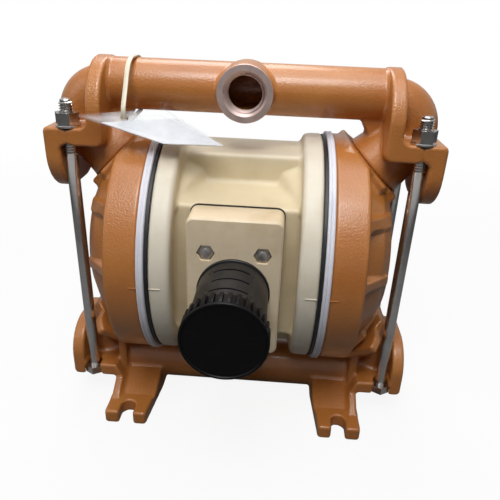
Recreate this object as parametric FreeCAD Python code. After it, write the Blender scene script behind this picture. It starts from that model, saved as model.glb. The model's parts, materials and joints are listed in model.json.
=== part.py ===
import FreeCAD, Part

import math
import os

from FreeCAD import Placement, Rotation, Vector

# Air operated diaphragm pump, 1 inch size, standing on four slotted feet.
# X runs along the diaphragm shaft, Y from the muffler side (-Y) to the air valve side (+Y), Z up.
# The origin is on the floor, midway between the two liquid chambers and under the shaft axis.
# All sizes are in millimetres.

# Heights and reach of the castings
SHAFT_Z = 136.0
TOP_TUBE_Z = 252.0
BOTTOM_TUBE_Z = 22.0
LUG_X = 134.5
LUG_HALF_Y = 35.3

# Discharge tube and outlet port
TOP_TUBE_R = 17.4
TOP_TUBE_BORE_R = 13.0
OUTLET_BORE_R = 12.1
OUTLET_BOSS_R = 19.6
OUTLET_FACE_Y = 26.5
PORT_CHAMFER = 2.5

# Inlet tube and inlet port
BOTTOM_TUBE_R = 19.5
BOTTOM_TUBE_BORE_R = 14.5
INLET_BORE_R = 15.1
INLET_BOSS_R = 21.5
INLET_FACE_Y = 30.0
INLET_LIFT = 1.0

# Elbows, measured on the discharge side and mirrored below
ELBOW_X = 100.5
ELBOW_DROP = 21.5
ELBOW_BEND_R = 17.75
ELBOW_R = 15.75
ELBOW_BORE_R = 12.0

# Sloping joints between chambers and manifolds, 45 degrees
JOINT_X = 93.0
JOINT_RISE = 66.0
NECK_R = 24.2
NECK_END_R = 20.8
NECK_L = 26.5
CAGE_R = 16.5

# Brackets of the manifolds
ARCH_X = 94.5
ARCH_T = 10.0
TOP_LUG_Z = 226.0
TOP_LUG_T = 12.0
CHEEK_T = 10.3
CHEEK_TIP_TOP = 46.5
CHEEK_TIP_BOTTOM = 43.0
CHEEK_CORNER_R = 26.0
BOTTOM_LUG_Z = 21.0
BOTTOM_LUG_T = 10.5
WEB_X = 93.0
WEB_T = 6.5
WEB_TOP_Z = 52.0

# Feet
FOOT_FRONT_Y = 66.6
FOOT_IN_X = 68.2
FOOT_OUT_X = 100.6
FOOT_T = 11.4
FOOT_SLOT_X = 83.9
FOOT_SLOT_R = 5.65
FOOT_SLOT_END_Y = 52.0

# Tie bolts
BOLT_X = 118.9
BOLT_Y = 28.6
BOLT_R = 4.75
SHANK_R = 4.2
THREAD_L = 46.0
BOLT_TOP_Z = 244.4
BOLT_HEAD_AF = 14.3
BOLT_HEAD_H = 6.3
BOLT_HOLE_R = 5.3
BOLT_SLOT_W = 11.5
HEAD_POCKET_R = 8.6
HEAD_SINK = 0.7
NUT_AF = 14.3
NUT_H = 8.2
WASHER_R = 8.3
WASHER_T = 1.4

# Diaphragm stack, as distances from the middle plane
RIM_INNER_X = 44.0
RIM_FACE_X = 55.2
BACKUP_T = 2.5
BEAD_T = 4.8
PTFE_T = 2.0
BAND_W = 22.2
RIM_R = 85.5
BACKUP_R = 85.3
BEAD_R = 87.5
BAND_R = 86.0
CLAMP_R = 77.0
ROLL_INNER_R = 48.0
ROLL_DEPTH = 2.6

# Liquid chamber
STEP_R = 73.0
DOME_R = 60.0
DOME_X = 99.0
END_R = 47.0
END_X = 106.4
CHAMBER_WALL = 5.0
RIB_T = 7.5
RIB_HEIGHTS = (49.2, 11.2)
RIB_FALL = 8.0
TOP_FLANGE_T = 4.0
TOP_FLANGE_HALF_W = 34.0
BOTTOM_FLANGE_T = 8.0
BOTTOM_FLANGE_HALF_W = 43.0
FLANGE_BACK = 11.0
PORT_BOSS_R = 22.7
PORT_BOSS_L = 25.0
ROOM_END_INSET = 3.0

# Centre section
BLOCK_Y = 55.4
BLOCK_HALF_H = 48.5
WALL_Y = 24.0
SHOULDER_RISE = 6.5
WAIST_HALF_H = 76.0
RECESS_X = 38.0
RECESS_R = 50.0
RECESS_LIP_X = 45.0

# Shaft and pistons
SHAFT_R = 10.0
SHAFT_FIT = 0.05
SHAFT_END_X = 46.0
STROKE = 10.0
STUD_R = 4.0
INNER_PISTON_R = 46.0
INNER_PISTON_X = 49.0
OUTER_PISTON_R = 44.0
OUTER_PISTON_T = 12.0
HUB_R = 15.0
SPRING_R = 9.6
SPRING_T = 1.0
SEAL_X = 30.0
SEAL_R = 13.6
SEAL_W = 4.0

# Air passages of the centre section
AIR_WAY_X = 27.0
AIR_WAY_RISE = 14.0
AIR_WAY_R = 4.0
AIR_WAY_BACK_Y = 38.0
EXHAUST_R = 7.0
EXHAUST_DROP = 24.0

# Pilot spool
PILOT_RISE = 38.0
PILOT_R = 4.0
PILOT_FIT = 0.03
PILOT_SLEEVE_R = 7.5
PILOT_RING_W = 1.6
PILOT_RING_PLACES = (-27.0, -9.0, 9.0, 27.0)
PILOT_TRAVEL = 4.0
PILOT_TIP_GAP = 0.2
PLATE_T = 3.0
PLATE_W = 30.0
PLATE_H = 17.0
SMALL_SCREW_R = 1.5
SMALL_HEAD_H = 1.4
SMALL_SCREW_L = 11.0
SMALL_SCREW_INSET = 3.4

# Valve screws through muffler plate, centre section and air valve
SCREW_X = 18.2
SCREW_RISE = 25.5
SCREW_R = 3.0
SCREW_HOLE_R = 3.3
SCREW_NUT_AF = 10.0
SCREW_NUT_H = 5.0
SCREW_NUT_SINK = 1.2
SCREW_HEAD_R = 4.9
SCREW_HEAD_H = 6.0
SCREW_SOCKET_AF = 5.0

# Muffler side
PLATE_HALF_W = 30.8
PLATE_HALF_H = 49.2
PLATE_FRONT_Y = 79.5
PLATE_CORNER_R = 5.0
GASKET_T = 1.5
MUFFLER_DROP = 1.5
BARREL_R = 23.2
BARREL_WALL = 2.6
BARREL_L = 43.5
SPIGOT_R = 11.0
SPIGOT_L = 12.0
CAP_R = 25.4
CAP_L = 13.3
MUFFLER_SLOTS = 3
MUFFLER_SLOT_PITCH = 9.5
MUFFLER_SLOT_W = 1.6
CAP_RIBS = 40
CAP_RIB_DEPTH = 1.1
PLATE_CHAMFER = 1.2

# Air valve side
VALVE_BASE_T = 14.0
VALVE_BORE_R = 8.0
VALVE_FIT = 0.04
VALVE_AXIS_Y = 79.5
VALVE_HOUSING_R = 12.8
VALVE_BOTTOM = 46.0
VALVE_TOP = 38.0
VALVE_SPOOL_DROP = 4.0
VALVE_SPOOL_L = 58.0
CAP_FLANGE_T = 6.0
END_CAP_T = 9.0
CAP_GAP = 0.3
END_CAP_HALF_X = 20.0
END_CAP_HALF_Y = 14.0
CAP_CORNER_R = 5.0
CAP_SCREW_R = 2.0
CAP_SCREW_INSET = 4.5
CAP_SCREW_HEAD_R = 3.5
CAP_SCREW_HEAD_H = 3.0
PLUG_L = 6.0
PLUG_GAP = 0.3
PLUG_RING_LOW = 4.5
PLUG_RING_HIGH = 2.0
PLUG_RING_W = 1.8
AIR_BOSS_R = 11.5
AIR_BORE_R = 5.7
AIR_FACE_Y = 101.0
AIR_DEPTH = 13.0
AIR_INLET_WAY_R = 3.5
SLOT_WAY_R = 2.5
VALVE_FLOOR = 5.0

# Check valves
BALL_R = 12.7
SEAT_R = 19.0
SEAT_BORE_R = 8.5
SEAT_T = 7.0
SEAT_CONE = 5.0
SEAT_RING_R = 1.6
BALL_LIFT = 7.0
GUIDE_GAP = 0.35
GUIDE_T = 3.2
PORT_BORE_R = 13.0

# Tag and its tie
TIE_X = 77.5
TIE_T = 1.3
TIE_W = 3.0
TIE_GAP = 0.25
TIE_REACH = 38.0
CARD_T = 0.5
SLEEVE_T = 1.4
TAG_LEFT = Vector(-106.7, -42.5, 236.4)
TAG_BACK = Vector(-54.5, -22.0, 239.1)
TAG_FRONT = Vector(-49.6, -50.0, 222.7)
TAG_RIGHT = Vector(-10.2, -41.3, 221.0)
TAG_MARGIN = 6.0

CHAMBER_X = RIM_FACE_X + BACKUP_T + BEAD_T
PILOT_TIP_X = INNER_PISTON_X - STROKE + PILOT_TRAVEL - PILOT_TIP_GAP
BAND_X = CHAMBER_X + BAND_W
JOINT_Z = SHAFT_Z + JOINT_RISE
SEAT_CONE_R = SEAT_BORE_R + SEAT_CONE
BALL_REST = BALL_R * math.sqrt(2.0) - SEAT_CONE_R + 0.02
CAGE_L = BALL_REST + BALL_LIFT + BALL_R + 0.6
GASKET_FACE = BLOCK_Y + GASKET_T
MUFFLER_Z = SHAFT_Z - MUFFLER_DROP
RIGHT = 1
LEFT = -1


def along(axis, a, b, c=0.0):
    """Point with in-plane coordinates (a, b) on the plane whose normal is the named axis."""
    if axis == "x":
        return Vector(c, a, b)
    if axis == "y":
        return Vector(a, c, b)
    return Vector(a, b, c)


def outline(axis, points, radii=0.0, c=0.0):
    """Closed face of straight runs whose corners are rounded by tangent arcs."""
    if not isinstance(radii, (list, tuple)):
        radii = [radii] * len(points)
    corners = [along(axis, a, b, c) for a, b in points]
    edges = []
    starts = []
    ends = []
    arcs = []
    for i, corner in enumerate(corners):
        before = corners[i - 1] - corner
        after = corners[(i + 1) % len(corners)] - corner
        before.normalize()
        after.normalize()
        half = before.getAngle(after) / 2.0
        radius = radii[i]
        reach = radius / math.tan(half)
        starts.append(corner + before * reach)
        ends.append(corner + after * reach)
        if radius > 0.0:
            towards = (before + after).normalize()
            middle = corner + towards * (radius / math.sin(half) - radius)
            arcs.append(Part.Arc(starts[i], middle, ends[i]).toShape())
        else:
            arcs.append(None)
    for i in range(len(corners)):
        if arcs[i] is not None:
            edges.append(arcs[i])
        following = starts[(i + 1) % len(corners)]
        if ends[i].distanceToPoint(following) > 1e-6:
            edges.append(Part.makeLine(ends[i], following))
    return Part.Face(Part.Wire(edges))


def prism(axis, points, low, high, radii=0.0):
    """Outline pushed along the named axis from low to high."""
    face = outline(axis, points, radii, low)
    step = {"x": Vector(high - low, 0, 0), "y": Vector(0, high - low, 0), "z": Vector(0, 0, high - low)}
    return face.extrude(step[axis])


def block(x0, x1, y0, y1, z0, z1):
    """Plain box between two corners."""
    return Part.makeBox(x1 - x0, y1 - y0, z1 - z0, Vector(x0, y0, z0))


def rod(axis, radius, low, high, a=0.0, b=0.0):
    """Round bar along the named axis, with its centre at (a, b) in the other two."""
    place = {"x": Vector(low, a, b), "y": Vector(a, low, b), "z": Vector(a, b, low)}
    way = {"x": Vector(1, 0, 0), "y": Vector(0, 1, 0), "z": Vector(0, 0, 1)}
    return Part.makeCylinder(radius, high - low, place[axis], way[axis])


def cone(axis, radius0, radius1, low, high, a=0.0, b=0.0):
    """Tapered bar along the named axis."""
    place = {"x": Vector(low, a, b), "y": Vector(a, low, b), "z": Vector(a, b, low)}
    way = {"x": Vector(1, 0, 0), "y": Vector(0, 1, 0), "z": Vector(0, 0, 1)}
    return Part.makeCone(radius0, radius1, high - low, place[axis], way[axis])


def turned(points, radii=0.0):
    """Profile of (x, radius) points turned about the shaft axis."""
    raised = [(x, SHAFT_Z + r) for x, r in points]
    face = outline("y", raised, radii)
    return face.revolve(Vector(0, 0, SHAFT_Z), Vector(1, 0, 0), 360.0)


def turned_z(points, radii=0.0, x=0.0, y=0.0):
    """Profile of (radius, z) points turned about an upright axis at (x, y)."""
    face = outline("y", points, radii)
    solid = face.revolve(Vector(0, 0, 0), Vector(0, 0, 1), 360.0)
    solid.translate(Vector(x, y, 0))
    return solid


def hexagon(axis, across_flats, low, high, a=0.0, b=0.0, turn=0.0):
    """Hexagonal bar, with a flat facing sideways at turn 0."""
    radius = across_flats / math.sqrt(3.0)
    angles = [math.radians(turn + 30.0 + 60.0 * k) for k in range(6)]
    points = [(a + radius * math.cos(t), b + radius * math.sin(t)) for t in angles]
    return prism(axis, points, low, high)


def fused(shapes):
    """One solid from several that touch or overlap."""
    solid = shapes[0].multiFuse(shapes[1:]) if len(shapes) > 1 else shapes[0]
    return solid.removeSplitter()


def cut(solid, tools):
    """Solid less several tools."""
    for tool in tools:
        solid = solid.cut(tool)
    return solid


def other_side(shape):
    """Mirror image across the middle plane."""
    return shape.mirror(Vector(0, 0, 0), Vector(1, 0, 0))


def upside_down(shape):
    """Mirror image across the level of the shaft."""
    return shape.mirror(Vector(0, 0, SHAFT_Z), Vector(0, 0, 1))


def port_place(low):
    """Placement of a right-hand joint: local Z is the way that the liquid flows up through it."""
    if low:
        return Placement(Vector(JOINT_X, 0, SHAFT_Z - JOINT_RISE), Rotation(Vector(0, 1, 0), -45.0))
    return Placement(Vector(JOINT_X, 0, JOINT_Z), Rotation(Vector(0, 1, 0), 45.0))


def at_port(shape, low):
    """Shape built about a joint's own axis, moved to a right-hand joint."""
    moved = shape.copy()
    moved.Placement = port_place(low).multiply(moved.Placement)
    return moved


def seat_pocket():
    """Counterbore for a seat and its ring, about a joint's axis."""
    return rod("z", SEAT_R, -SEAT_T - 2.0 * SEAT_RING_R, 1.0)


def cage_room(length, end_radius, end_length):
    """Room in which a ball lifts, about a joint's axis, with four guide ribs left standing."""
    room = rod("z", CAGE_R, -1.0, length)
    run = cone("z", CAGE_R, end_radius, length, length + end_length)
    guides = []
    for turn in (45.0, 135.0, 225.0, 315.0):
        side = block(BALL_R + GUIDE_GAP, CAGE_R + 1.0, -GUIDE_T / 2, GUIDE_T / 2, BALL_REST, length)
        stop = block(BALL_R * 0.62, CAGE_R + 1.0, -GUIDE_T / 2, GUIDE_T / 2, length - 1.6, length)
        guide = side.fuse(stop)
        guide.rotate(Vector(0, 0, 0), Vector(0, 0, 1), turn)
        guides.append(guide)
    return cut(fused([room, run]), guides)


def elbow(radius):
    """Bend of 135 degrees from the discharge tube down to the sloping neck, right-hand side."""
    centre = Vector(ELBOW_X, 0, TOP_TUBE_Z - ELBOW_DROP)
    start = centre + Vector(0, 0, ELBOW_BEND_R)
    circle = Part.makeCircle(radius, start, Vector(1, 0, 0))
    face = Part.Face(Part.Wire([circle]))
    return face.revolve(centre, Vector(0, 1, 0), 135.0)


def bracket_section(lug_z, lug_t, tip, arch_top):
    """Lug, arch plate and cheek of a discharge bracket as one stepped section."""
    section = [
        (ARCH_X, arch_top + 2.0),
        (ARCH_X + ARCH_T, arch_top + 2.0),
        (ARCH_X + ARCH_T, lug_z),
        (LUG_X, lug_z),
        (LUG_X, lug_z - tip - 2.0),
        (LUG_X - CHEEK_T, lug_z - tip - 2.0),
        (LUG_X - CHEEK_T, lug_z - lug_t),
        (ARCH_X, lug_z - lug_t),
    ]
    return prism("y", section, -LUG_HALF_Y - 1.0, LUG_HALF_Y + 1.0, [0, 0, 6.0, 2.5, 0, 0, 3.0, 4.0])


def top_bracket():
    """Right-hand bracket of the discharge manifold, trimmed to its rounded side outline."""
    arch_top = TOP_TUBE_Z + TOP_TUBE_R + 0.9
    tip = TOP_LUG_Z - CHEEK_TIP_TOP
    section = bracket_section(TOP_LUG_Z, TOP_LUG_T, CHEEK_TIP_TOP, arch_top)
    side = [(-LUG_HALF_Y, tip), (LUG_HALF_Y, tip), (LUG_HALF_Y, arch_top), (-LUG_HALF_Y, arch_top)]
    round_top = LUG_HALF_Y - 0.1
    trim = prism("x", side, ARCH_X - 5.0, LUG_X + 5.0, [CHEEK_CORNER_R, CHEEK_CORNER_R, round_top, round_top])
    holes = [rod("z", BOLT_HOLE_R, tip, arch_top, BOLT_X, y) for y in (-BOLT_Y, BOLT_Y)]
    return cut(section.common(trim), holes)


def discharge_half():
    """Right-hand half of the discharge manifold, still without its bores."""
    tube = rod("x", TOP_TUBE_R, 0.0, ELBOW_X, 0.0, TOP_TUBE_Z)
    neck = at_port(cone("z", NECK_R, NECK_END_R, 0.0, NECK_L), False)
    throat = prism("y", [(80.0, 236.0), (92.0, 236.0), (92.0, 221.0), (84.5, 227.5)], -9.0, 9.0)
    return fused([tube, elbow(ELBOW_R), neck, throat, top_bracket()])


def discharge_bores():
    """Passages of the right-hand half of the discharge manifold."""
    tube = rod("x", TOP_TUBE_BORE_R, -1.0, ELBOW_X, 0.0, TOP_TUBE_Z)
    return [tube, elbow(ELBOW_BORE_R), at_port(cage_room(CAGE_L, ELBOW_BORE_R * 0.8, 5.0), False)]


def discharge_manifold():
    """Top manifold: tube with a threaded outlet, two elbows, necks and bolt brackets."""
    half = discharge_half()
    boss = cone("y", OUTLET_BOSS_R - 0.6, OUTLET_BOSS_R, -OUTLET_FACE_Y, 0.0, 0.0, TOP_TUBE_Z)
    port = rod("y", OUTLET_BORE_R, -OUTLET_FACE_Y - 1.0, 0.0, 0.0, TOP_TUBE_Z)
    relief = rod("y", TOP_TUBE_BORE_R + 0.2, -TOP_TUBE_BORE_R - 0.5, 0.0, 0.0, TOP_TUBE_Z)
    mouth_r = OUTLET_BORE_R + PORT_CHAMFER
    mouth = cone("y", mouth_r, OUTLET_BORE_R, -OUTLET_FACE_Y, -OUTLET_FACE_Y + PORT_CHAMFER, 0.0, TOP_TUBE_Z)
    bores = discharge_bores()
    whole = fused([half, other_side(half), boss])
    return cut(whole, [port, relief, mouth] + bores + [other_side(bore) for bore in bores])


def foot():
    """Right-hand foot strap: one pad fore and aft with an open bolt slot at each end."""
    inner = FOOT_IN_X - 4.5
    points = [
        (FOOT_IN_X, -FOOT_FRONT_Y), (FOOT_OUT_X, -FOOT_FRONT_Y), (FOOT_OUT_X - 1.0, 0.0),
        (FOOT_OUT_X, FOOT_FRONT_Y), (FOOT_IN_X, FOOT_FRONT_Y), (inner, 20.0), (inner, -20.0),
    ]
    pad = prism("z", points, 0.0, FOOT_T, [2.0, 2.0, 0, 2.0, 2.0, 10.0, 10.0])
    slots = []
    for side in (-1, 1):
        end = side * (FOOT_SLOT_END_Y + FOOT_SLOT_R)
        slots.append(rod("z", FOOT_SLOT_R, -1.0, FOOT_T + 1.0, FOOT_SLOT_X, end))
        low, high = sorted((end, side * (FOOT_FRONT_Y + 5.0)))
        inner, outer = FOOT_SLOT_X - FOOT_SLOT_R, FOOT_SLOT_X + FOOT_SLOT_R
        slots.append(block(inner, outer, low, high, -1.0, FOOT_T + 1.0))
    return cut(pad, slots)


def inlet_web():
    """Upright web and ramp that carry the inlet manifold on its right-hand foot."""
    lug_face = LUG_HALF_Y + 0.5
    web = [
        (-52.0, 0.0), (52.0, 0.0), (52.0, FOOT_T), (44.0, FOOT_T + 5.0),
        (lug_face, BOTTOM_LUG_Z), (lug_face, BOTTOM_LUG_Z + BOTTOM_LUG_T), (28.0, WEB_TOP_Z),
        (-28.0, WEB_TOP_Z), (-lug_face, BOTTOM_LUG_Z + BOTTOM_LUG_T), (-lug_face, BOTTOM_LUG_Z),
        (-44.0, FOOT_T + 5.0), (-52.0, FOOT_T),
    ]
    ramp_top = BOTTOM_TUBE_Z + 2.0
    ramp = [(-48.0, FOOT_T - 1.0), (48.0, FOOT_T - 1.0), (14.0, ramp_top), (-14.0, ramp_top)]
    return fused([
        prism("x", web, WEB_X, WEB_X + WEB_T),
        prism("x", ramp, FOOT_IN_X - 4.0, WEB_X + 1.0),
    ])


def bottom_bracket():
    """Right-hand lug and cheek of the inlet manifold, with its open bolt slots."""
    tip = BOTTOM_LUG_Z + CHEEK_TIP_BOTTOM
    section = [
        (WEB_X, BOTTOM_LUG_Z), (LUG_X, BOTTOM_LUG_Z), (LUG_X, tip + 2.0), (LUG_X - CHEEK_T + 1.3, tip + 2.0),
        (LUG_X - CHEEK_T + 1.3, BOTTOM_LUG_Z + BOTTOM_LUG_T), (WEB_X, BOTTOM_LUG_Z + BOTTOM_LUG_T),
    ]
    plate = prism("y", section, -LUG_HALF_Y - 1.0, LUG_HALF_Y + 1.0, [0, 2.5, 0, 0, 3.0, 0])
    side = [(-LUG_HALF_Y, 15.0), (LUG_HALF_Y, 15.0), (LUG_HALF_Y, tip), (-LUG_HALF_Y, tip)]
    trim = prism("x", side, WEB_X - 1.0, LUG_X + 1.0, [0, 0, CHEEK_CORNER_R, CHEEK_CORNER_R])
    tools = []
    half = BOLT_SLOT_W / 2.0
    high = BOTTOM_LUG_Z + BOTTOM_LUG_T + 1.0
    for side_y in (-1, 1):
        y = side_y * BOLT_Y
        low_y, high_y = sorted((y, side_y * (LUG_HALF_Y + 5.0)))
        tools.append(rod("z", half, BOTTOM_LUG_Z - 1.0, high, BOLT_X, y))
        tools.append(block(BOLT_X - half, BOLT_X + half, low_y, high_y, BOTTOM_LUG_Z - 1.0, high))
        pocket_top = BOTTOM_LUG_Z + HEAD_SINK + BOLT_HEAD_H
        tools.append(rod("z", HEAD_POCKET_R, BOTTOM_LUG_Z - 1.0, pocket_top, BOLT_X, y))
    return cut(plate.common(trim), tools)


def inlet_half():
    """Right-hand half of the inlet manifold, still without its bores."""
    tube = rod("x", BOTTOM_TUBE_R, 0.0, WEB_X + 3.0, 0.0, BOTTOM_TUBE_Z)
    neck = at_port(cone("z", NECK_R, NECK_END_R, 0.0, NECK_L), False)
    bend = elbow(ELBOW_R)
    return fused([tube, upside_down(fused([neck, bend])), foot(), inlet_web(), bottom_bracket()])


def inlet_bores():
    """Passages of the right-hand half of the inlet manifold."""
    tube = rod("x", BOTTOM_TUBE_BORE_R, -1.0, 88.0, 0.0, BOTTOM_TUBE_Z)
    link = cone("x", BOTTOM_TUBE_BORE_R, ELBOW_BORE_R, 88.0, ELBOW_X, 0.0, BOTTOM_TUBE_Z + 0.5)
    bend = upside_down(elbow(ELBOW_BORE_R))
    reach = rod("z", PORT_BORE_R - 1.5, -NECK_L - 1.0, -SEAT_T)
    return [tube, link, bend, at_port(fused([seat_pocket(), reach]), True)]


def inlet_manifold():
    """Bottom manifold: tube with a threaded inlet at the back, necks, brackets and four feet."""
    half = inlet_half()
    z = BOTTOM_TUBE_Z + INLET_LIFT
    boss = rod("y", INLET_BOSS_R, 0.0, INLET_FACE_Y, 0.0, z)
    port = rod("y", INLET_BORE_R, BOTTOM_TUBE_BORE_R + 0.5, INLET_FACE_Y + 1.0, 0.0, z)
    relief = rod("y", BOTTOM_TUBE_BORE_R - 0.5, 0.0, INLET_FACE_Y, 0.0, z)
    mouth_r = INLET_BORE_R + PORT_CHAMFER
    mouth = cone("y", INLET_BORE_R, mouth_r, INLET_FACE_Y - PORT_CHAMFER, INLET_FACE_Y, 0.0, z)
    bores = inlet_bores()
    whole = fused([half, other_side(half), boss])
    return cut(whole, [port, relief, mouth] + bores + [other_side(bore) for bore in bores])


def chamber_body():
    """Right-hand liquid chamber as turned, with its clamp band, dome and ribs."""
    shell = turned(
        [(CHAMBER_X, 0.0), (CHAMBER_X, BAND_R), (BAND_X, BAND_R), (BAND_X, STEP_R), (DOME_X, DOME_R),
         (END_X, END_R), (END_X, 0.0)],
        [0, 1.5, 2.0, 3.0, 9.0, 7.0, 0],
    )
    low = BAND_X - 2.0
    high = END_X - 1.5
    limit = turned([(low, 20.0), (low, BAND_R - 1.5), (high, END_R + 6.5), (high, 20.0)])
    ribs = []
    for rise in RIB_HEIGHTS:
        z = SHAFT_Z + rise
        section = [(low, z), (END_X, z - RIB_FALL), (END_X, z - RIB_FALL - RIB_T), (low, z - RIB_T)]
        ribs.append(prism("y", section, -BAND_R, BAND_R).common(limit))
    return fused([shell] + ribs)


def flange(low, thickness, half_width):
    """Sloping flange of a chamber about a joint's axis."""
    reach = NECK_R
    points = [
        (-FLANGE_BACK, -half_width), (reach * 0.45, -half_width + 5.0), (reach * 0.5, -half_width + 12.0),
        (reach, -NECK_R + 2.0), (reach, NECK_R - 2.0), (reach * 0.5, half_width - 12.0),
        (reach * 0.45, half_width - 5.0), (-FLANGE_BACK, half_width),
    ]
    return prism("z", points, low, low + thickness, [0, 2.0, 2.0, 10.0, 10.0, 2.0, 2.0, 0])


def chamber_room():
    """Liquid space of the right-hand chamber, clear of the walls round its two ports."""
    wall = CHAMBER_WALL
    room = turned(
        [(CHAMBER_X - 1.0, 0.0), (CHAMBER_X - 1.0, CLAMP_R), (CHAMBER_X + 3.0, CLAMP_R),
         (BAND_X - ROOM_END_INSET, STEP_R - wall), (DOME_X - wall, DOME_R - wall * 1.4),
         (END_X - wall, END_R - wall * 1.4), (END_X - wall, 0.0)],
        [0, 0, 2.0, 6.0, 8.0, 6.0, 0],
    )
    top_guard = at_port(rod("z", PORT_BOSS_R, -SEAT_T - 6.0, 0.0), False)
    low_guard = at_port(rod("z", PORT_BOSS_R, 0.0, CAGE_L), True)
    return cut(room, [top_guard, low_guard])


def liquid_chamber():
    """Right-hand liquid chamber with a sloping port at the top and another at the bottom."""
    body = fused([
        chamber_body(),
        at_port(rod("z", PORT_BOSS_R, -PORT_BOSS_L, 0.0), False),
        at_port(flange(-TOP_FLANGE_T, TOP_FLANGE_T, TOP_FLANGE_HALF_W), False),
        at_port(rod("z", PORT_BOSS_R, 0.0, PORT_BOSS_L), True),
        at_port(flange(0.0, BOTTOM_FLANGE_T, BOTTOM_FLANGE_HALF_W), True),
    ])
    size = 400.0
    above = at_port(block(-size, size, -size, size, 0.0, size), False)
    below = at_port(block(-size, size, -size, size, -size, 0.0), True)
    inside = block(0.0, CHAMBER_X, -size, size, -size, size)
    way = rod("z", PORT_BORE_R, -CAGE_L - 6.0, 0.0)
    top_port = at_port(fused([seat_pocket(), way]), False)
    low_port = at_port(cage_room(CAGE_L, PORT_BORE_R, 4.0), True)
    return cut(body, [above, below, inside, chamber_room(), top_port, low_port])


def waist_block():
    """Stepped block between the two rims of the centre section."""
    y0, y1 = BLOCK_Y, WALL_Y
    h0, h1, h2 = BLOCK_HALF_H, BLOCK_HALF_H + SHOULDER_RISE, WAIST_HALF_H
    quarter = [(y0, h0), (y1, h1), (y1, h2)]
    rounds = [2.0, 5.0, 3.0]
    points = [(-y, z) for y, z in quarter] + [(y, z) for y, z in reversed(quarter)]
    points += [(y, -z) for y, z in quarter] + [(-y, -z) for y, z in reversed(quarter)]
    radii = (rounds + rounds[::-1]) * 2
    reach = RIM_INNER_X + 2.0
    return prism("x", [(y, SHAFT_Z + z) for y, z in points], -reach, reach, radii)


def center_section():
    """Moulded centre section: two dished rims joined by a waisted block."""
    rim_points = [(RIM_INNER_X, 0.0), (RIM_INNER_X, RIM_R), (RIM_FACE_X, RIM_R), (RIM_FACE_X, 0.0)]
    rim = turned(rim_points, [0, 3.0, 1.2, 0])
    past = RIM_FACE_X + 1.0
    recess = turned([(RECESS_X, 0.0), (RECESS_X, RECESS_R), (RECESS_LIP_X, RECESS_R), (RIM_FACE_X, CLAMP_R),
                     (past, CLAMP_R), (past, 0.0)])
    seal = turned([(SEAL_X, 1.0), (SEAL_X, SEAL_R), (SEAL_X + SEAL_W, SEAL_R), (SEAL_X + SEAL_W, 1.0)])
    plate = retaining_outline(RECESS_X - PLATE_T, RECESS_X + 1.0, 0.0)
    screws = [rod("x", SMALL_SCREW_R, RECESS_X - SMALL_SCREW_L - 1.0, RECESS_X, y, SHAFT_Z + PILOT_RISE)
              for y in (-plate_screw_y(), plate_screw_y())]
    one_side = [recess, seal, plate] + screws
    tools = one_side + [other_side(tool) for tool in one_side] + air_way(RIGHT) + air_way(LEFT)
    tools.append(rod("x", SHAFT_R + SHAFT_FIT, -RECESS_X - 1.0, RECESS_X + 1.0, 0.0, SHAFT_Z))
    tools.append(rod("x", PILOT_SLEEVE_R, -RECESS_X, RECESS_X, 0.0, SHAFT_Z + PILOT_RISE))
    tools.append(exhaust_way())
    tools += screw_holes(-BLOCK_Y - 1.0, BLOCK_Y + 1.0)
    return cut(fused([waist_block(), rim, other_side(rim)]), tools)


def retaining_outline(low, high, gap):
    """Rounded plate that holds a pilot sleeve in the floor of the air chamber."""
    z = SHAFT_Z + PILOT_RISE
    half_w = PLATE_W / 2.0 - gap
    half_h = PLATE_H / 2.0 - gap
    points = [(-half_w, z - half_h), (half_w, z - half_h), (half_w, z + half_h), (-half_w, z + half_h)]
    return prism("x", points, low, high, 5.0 - gap)


def plate_screw_y():
    """Sideways place of a retaining plate's screws."""
    return PLATE_W / 2.0 - SMALL_SCREW_INSET


def air_way(side):
    """Passage from the air valve face to one air chamber."""
    z = SHAFT_Z + AIR_WAY_RISE
    x = side * AIR_WAY_X
    back = rod("y", AIR_WAY_R, AIR_WAY_BACK_Y - AIR_WAY_R, BLOCK_Y + 1.0, x, z)
    low, high = sorted((x, side * (RECESS_X + 1.0)))
    return [back, rod("x", AIR_WAY_R, low, high, AIR_WAY_BACK_Y, z)]


def exhaust_way():
    """Passage from the air valve face to the muffler, under the shaft."""
    return rod("y", EXHAUST_R, -BLOCK_Y - 2.0, BLOCK_Y + 2.0, 0.0, SHAFT_Z - EXHAUST_DROP)


def screw_places():
    """Places of the four valve screws, as (x, z)."""
    return [(sx * SCREW_X, SHAFT_Z + sz * SCREW_RISE) for sx in (-1, 1) for sz in (-1, 1)]


def screw_holes(low, high):
    """Clearance holes for the four valve screws."""
    return [rod("y", SCREW_HOLE_R, low, high, x, z) for x, z in screw_places()]


def cover_outline(low, high, margin, corner):
    """Upright rectangle with rounded corners, as the muffler plate and its gasket have."""
    w = PLATE_HALF_W + margin
    h = PLATE_HALF_H + margin
    points = [(-w, SHAFT_Z - h), (w, SHAFT_Z - h), (w, SHAFT_Z + h), (-w, SHAFT_Z + h)]
    return prism("y", points, low, high, corner)


def gasket(front):
    """Flat gasket behind the muffler plate or the air valve, with its openings."""
    side = -1 if front else 1
    low, high = sorted((side * BLOCK_Y, side * GASKET_FACE))
    sheet = cover_outline(low, high, 0.7, PLATE_CORNER_R + 0.7)
    tools = screw_holes(low - 1.0, high + 1.0) + [exhaust_way()]
    if not front:
        tools += [air_way(RIGHT)[0], air_way(LEFT)[0]]
    else:
        tools.append(block(-12.0, 12.0, low - 1.0, high + 1.0, SHAFT_Z - 32.0, SHAFT_Z + 12.0))
    return cut(sheet, tools)


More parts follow.
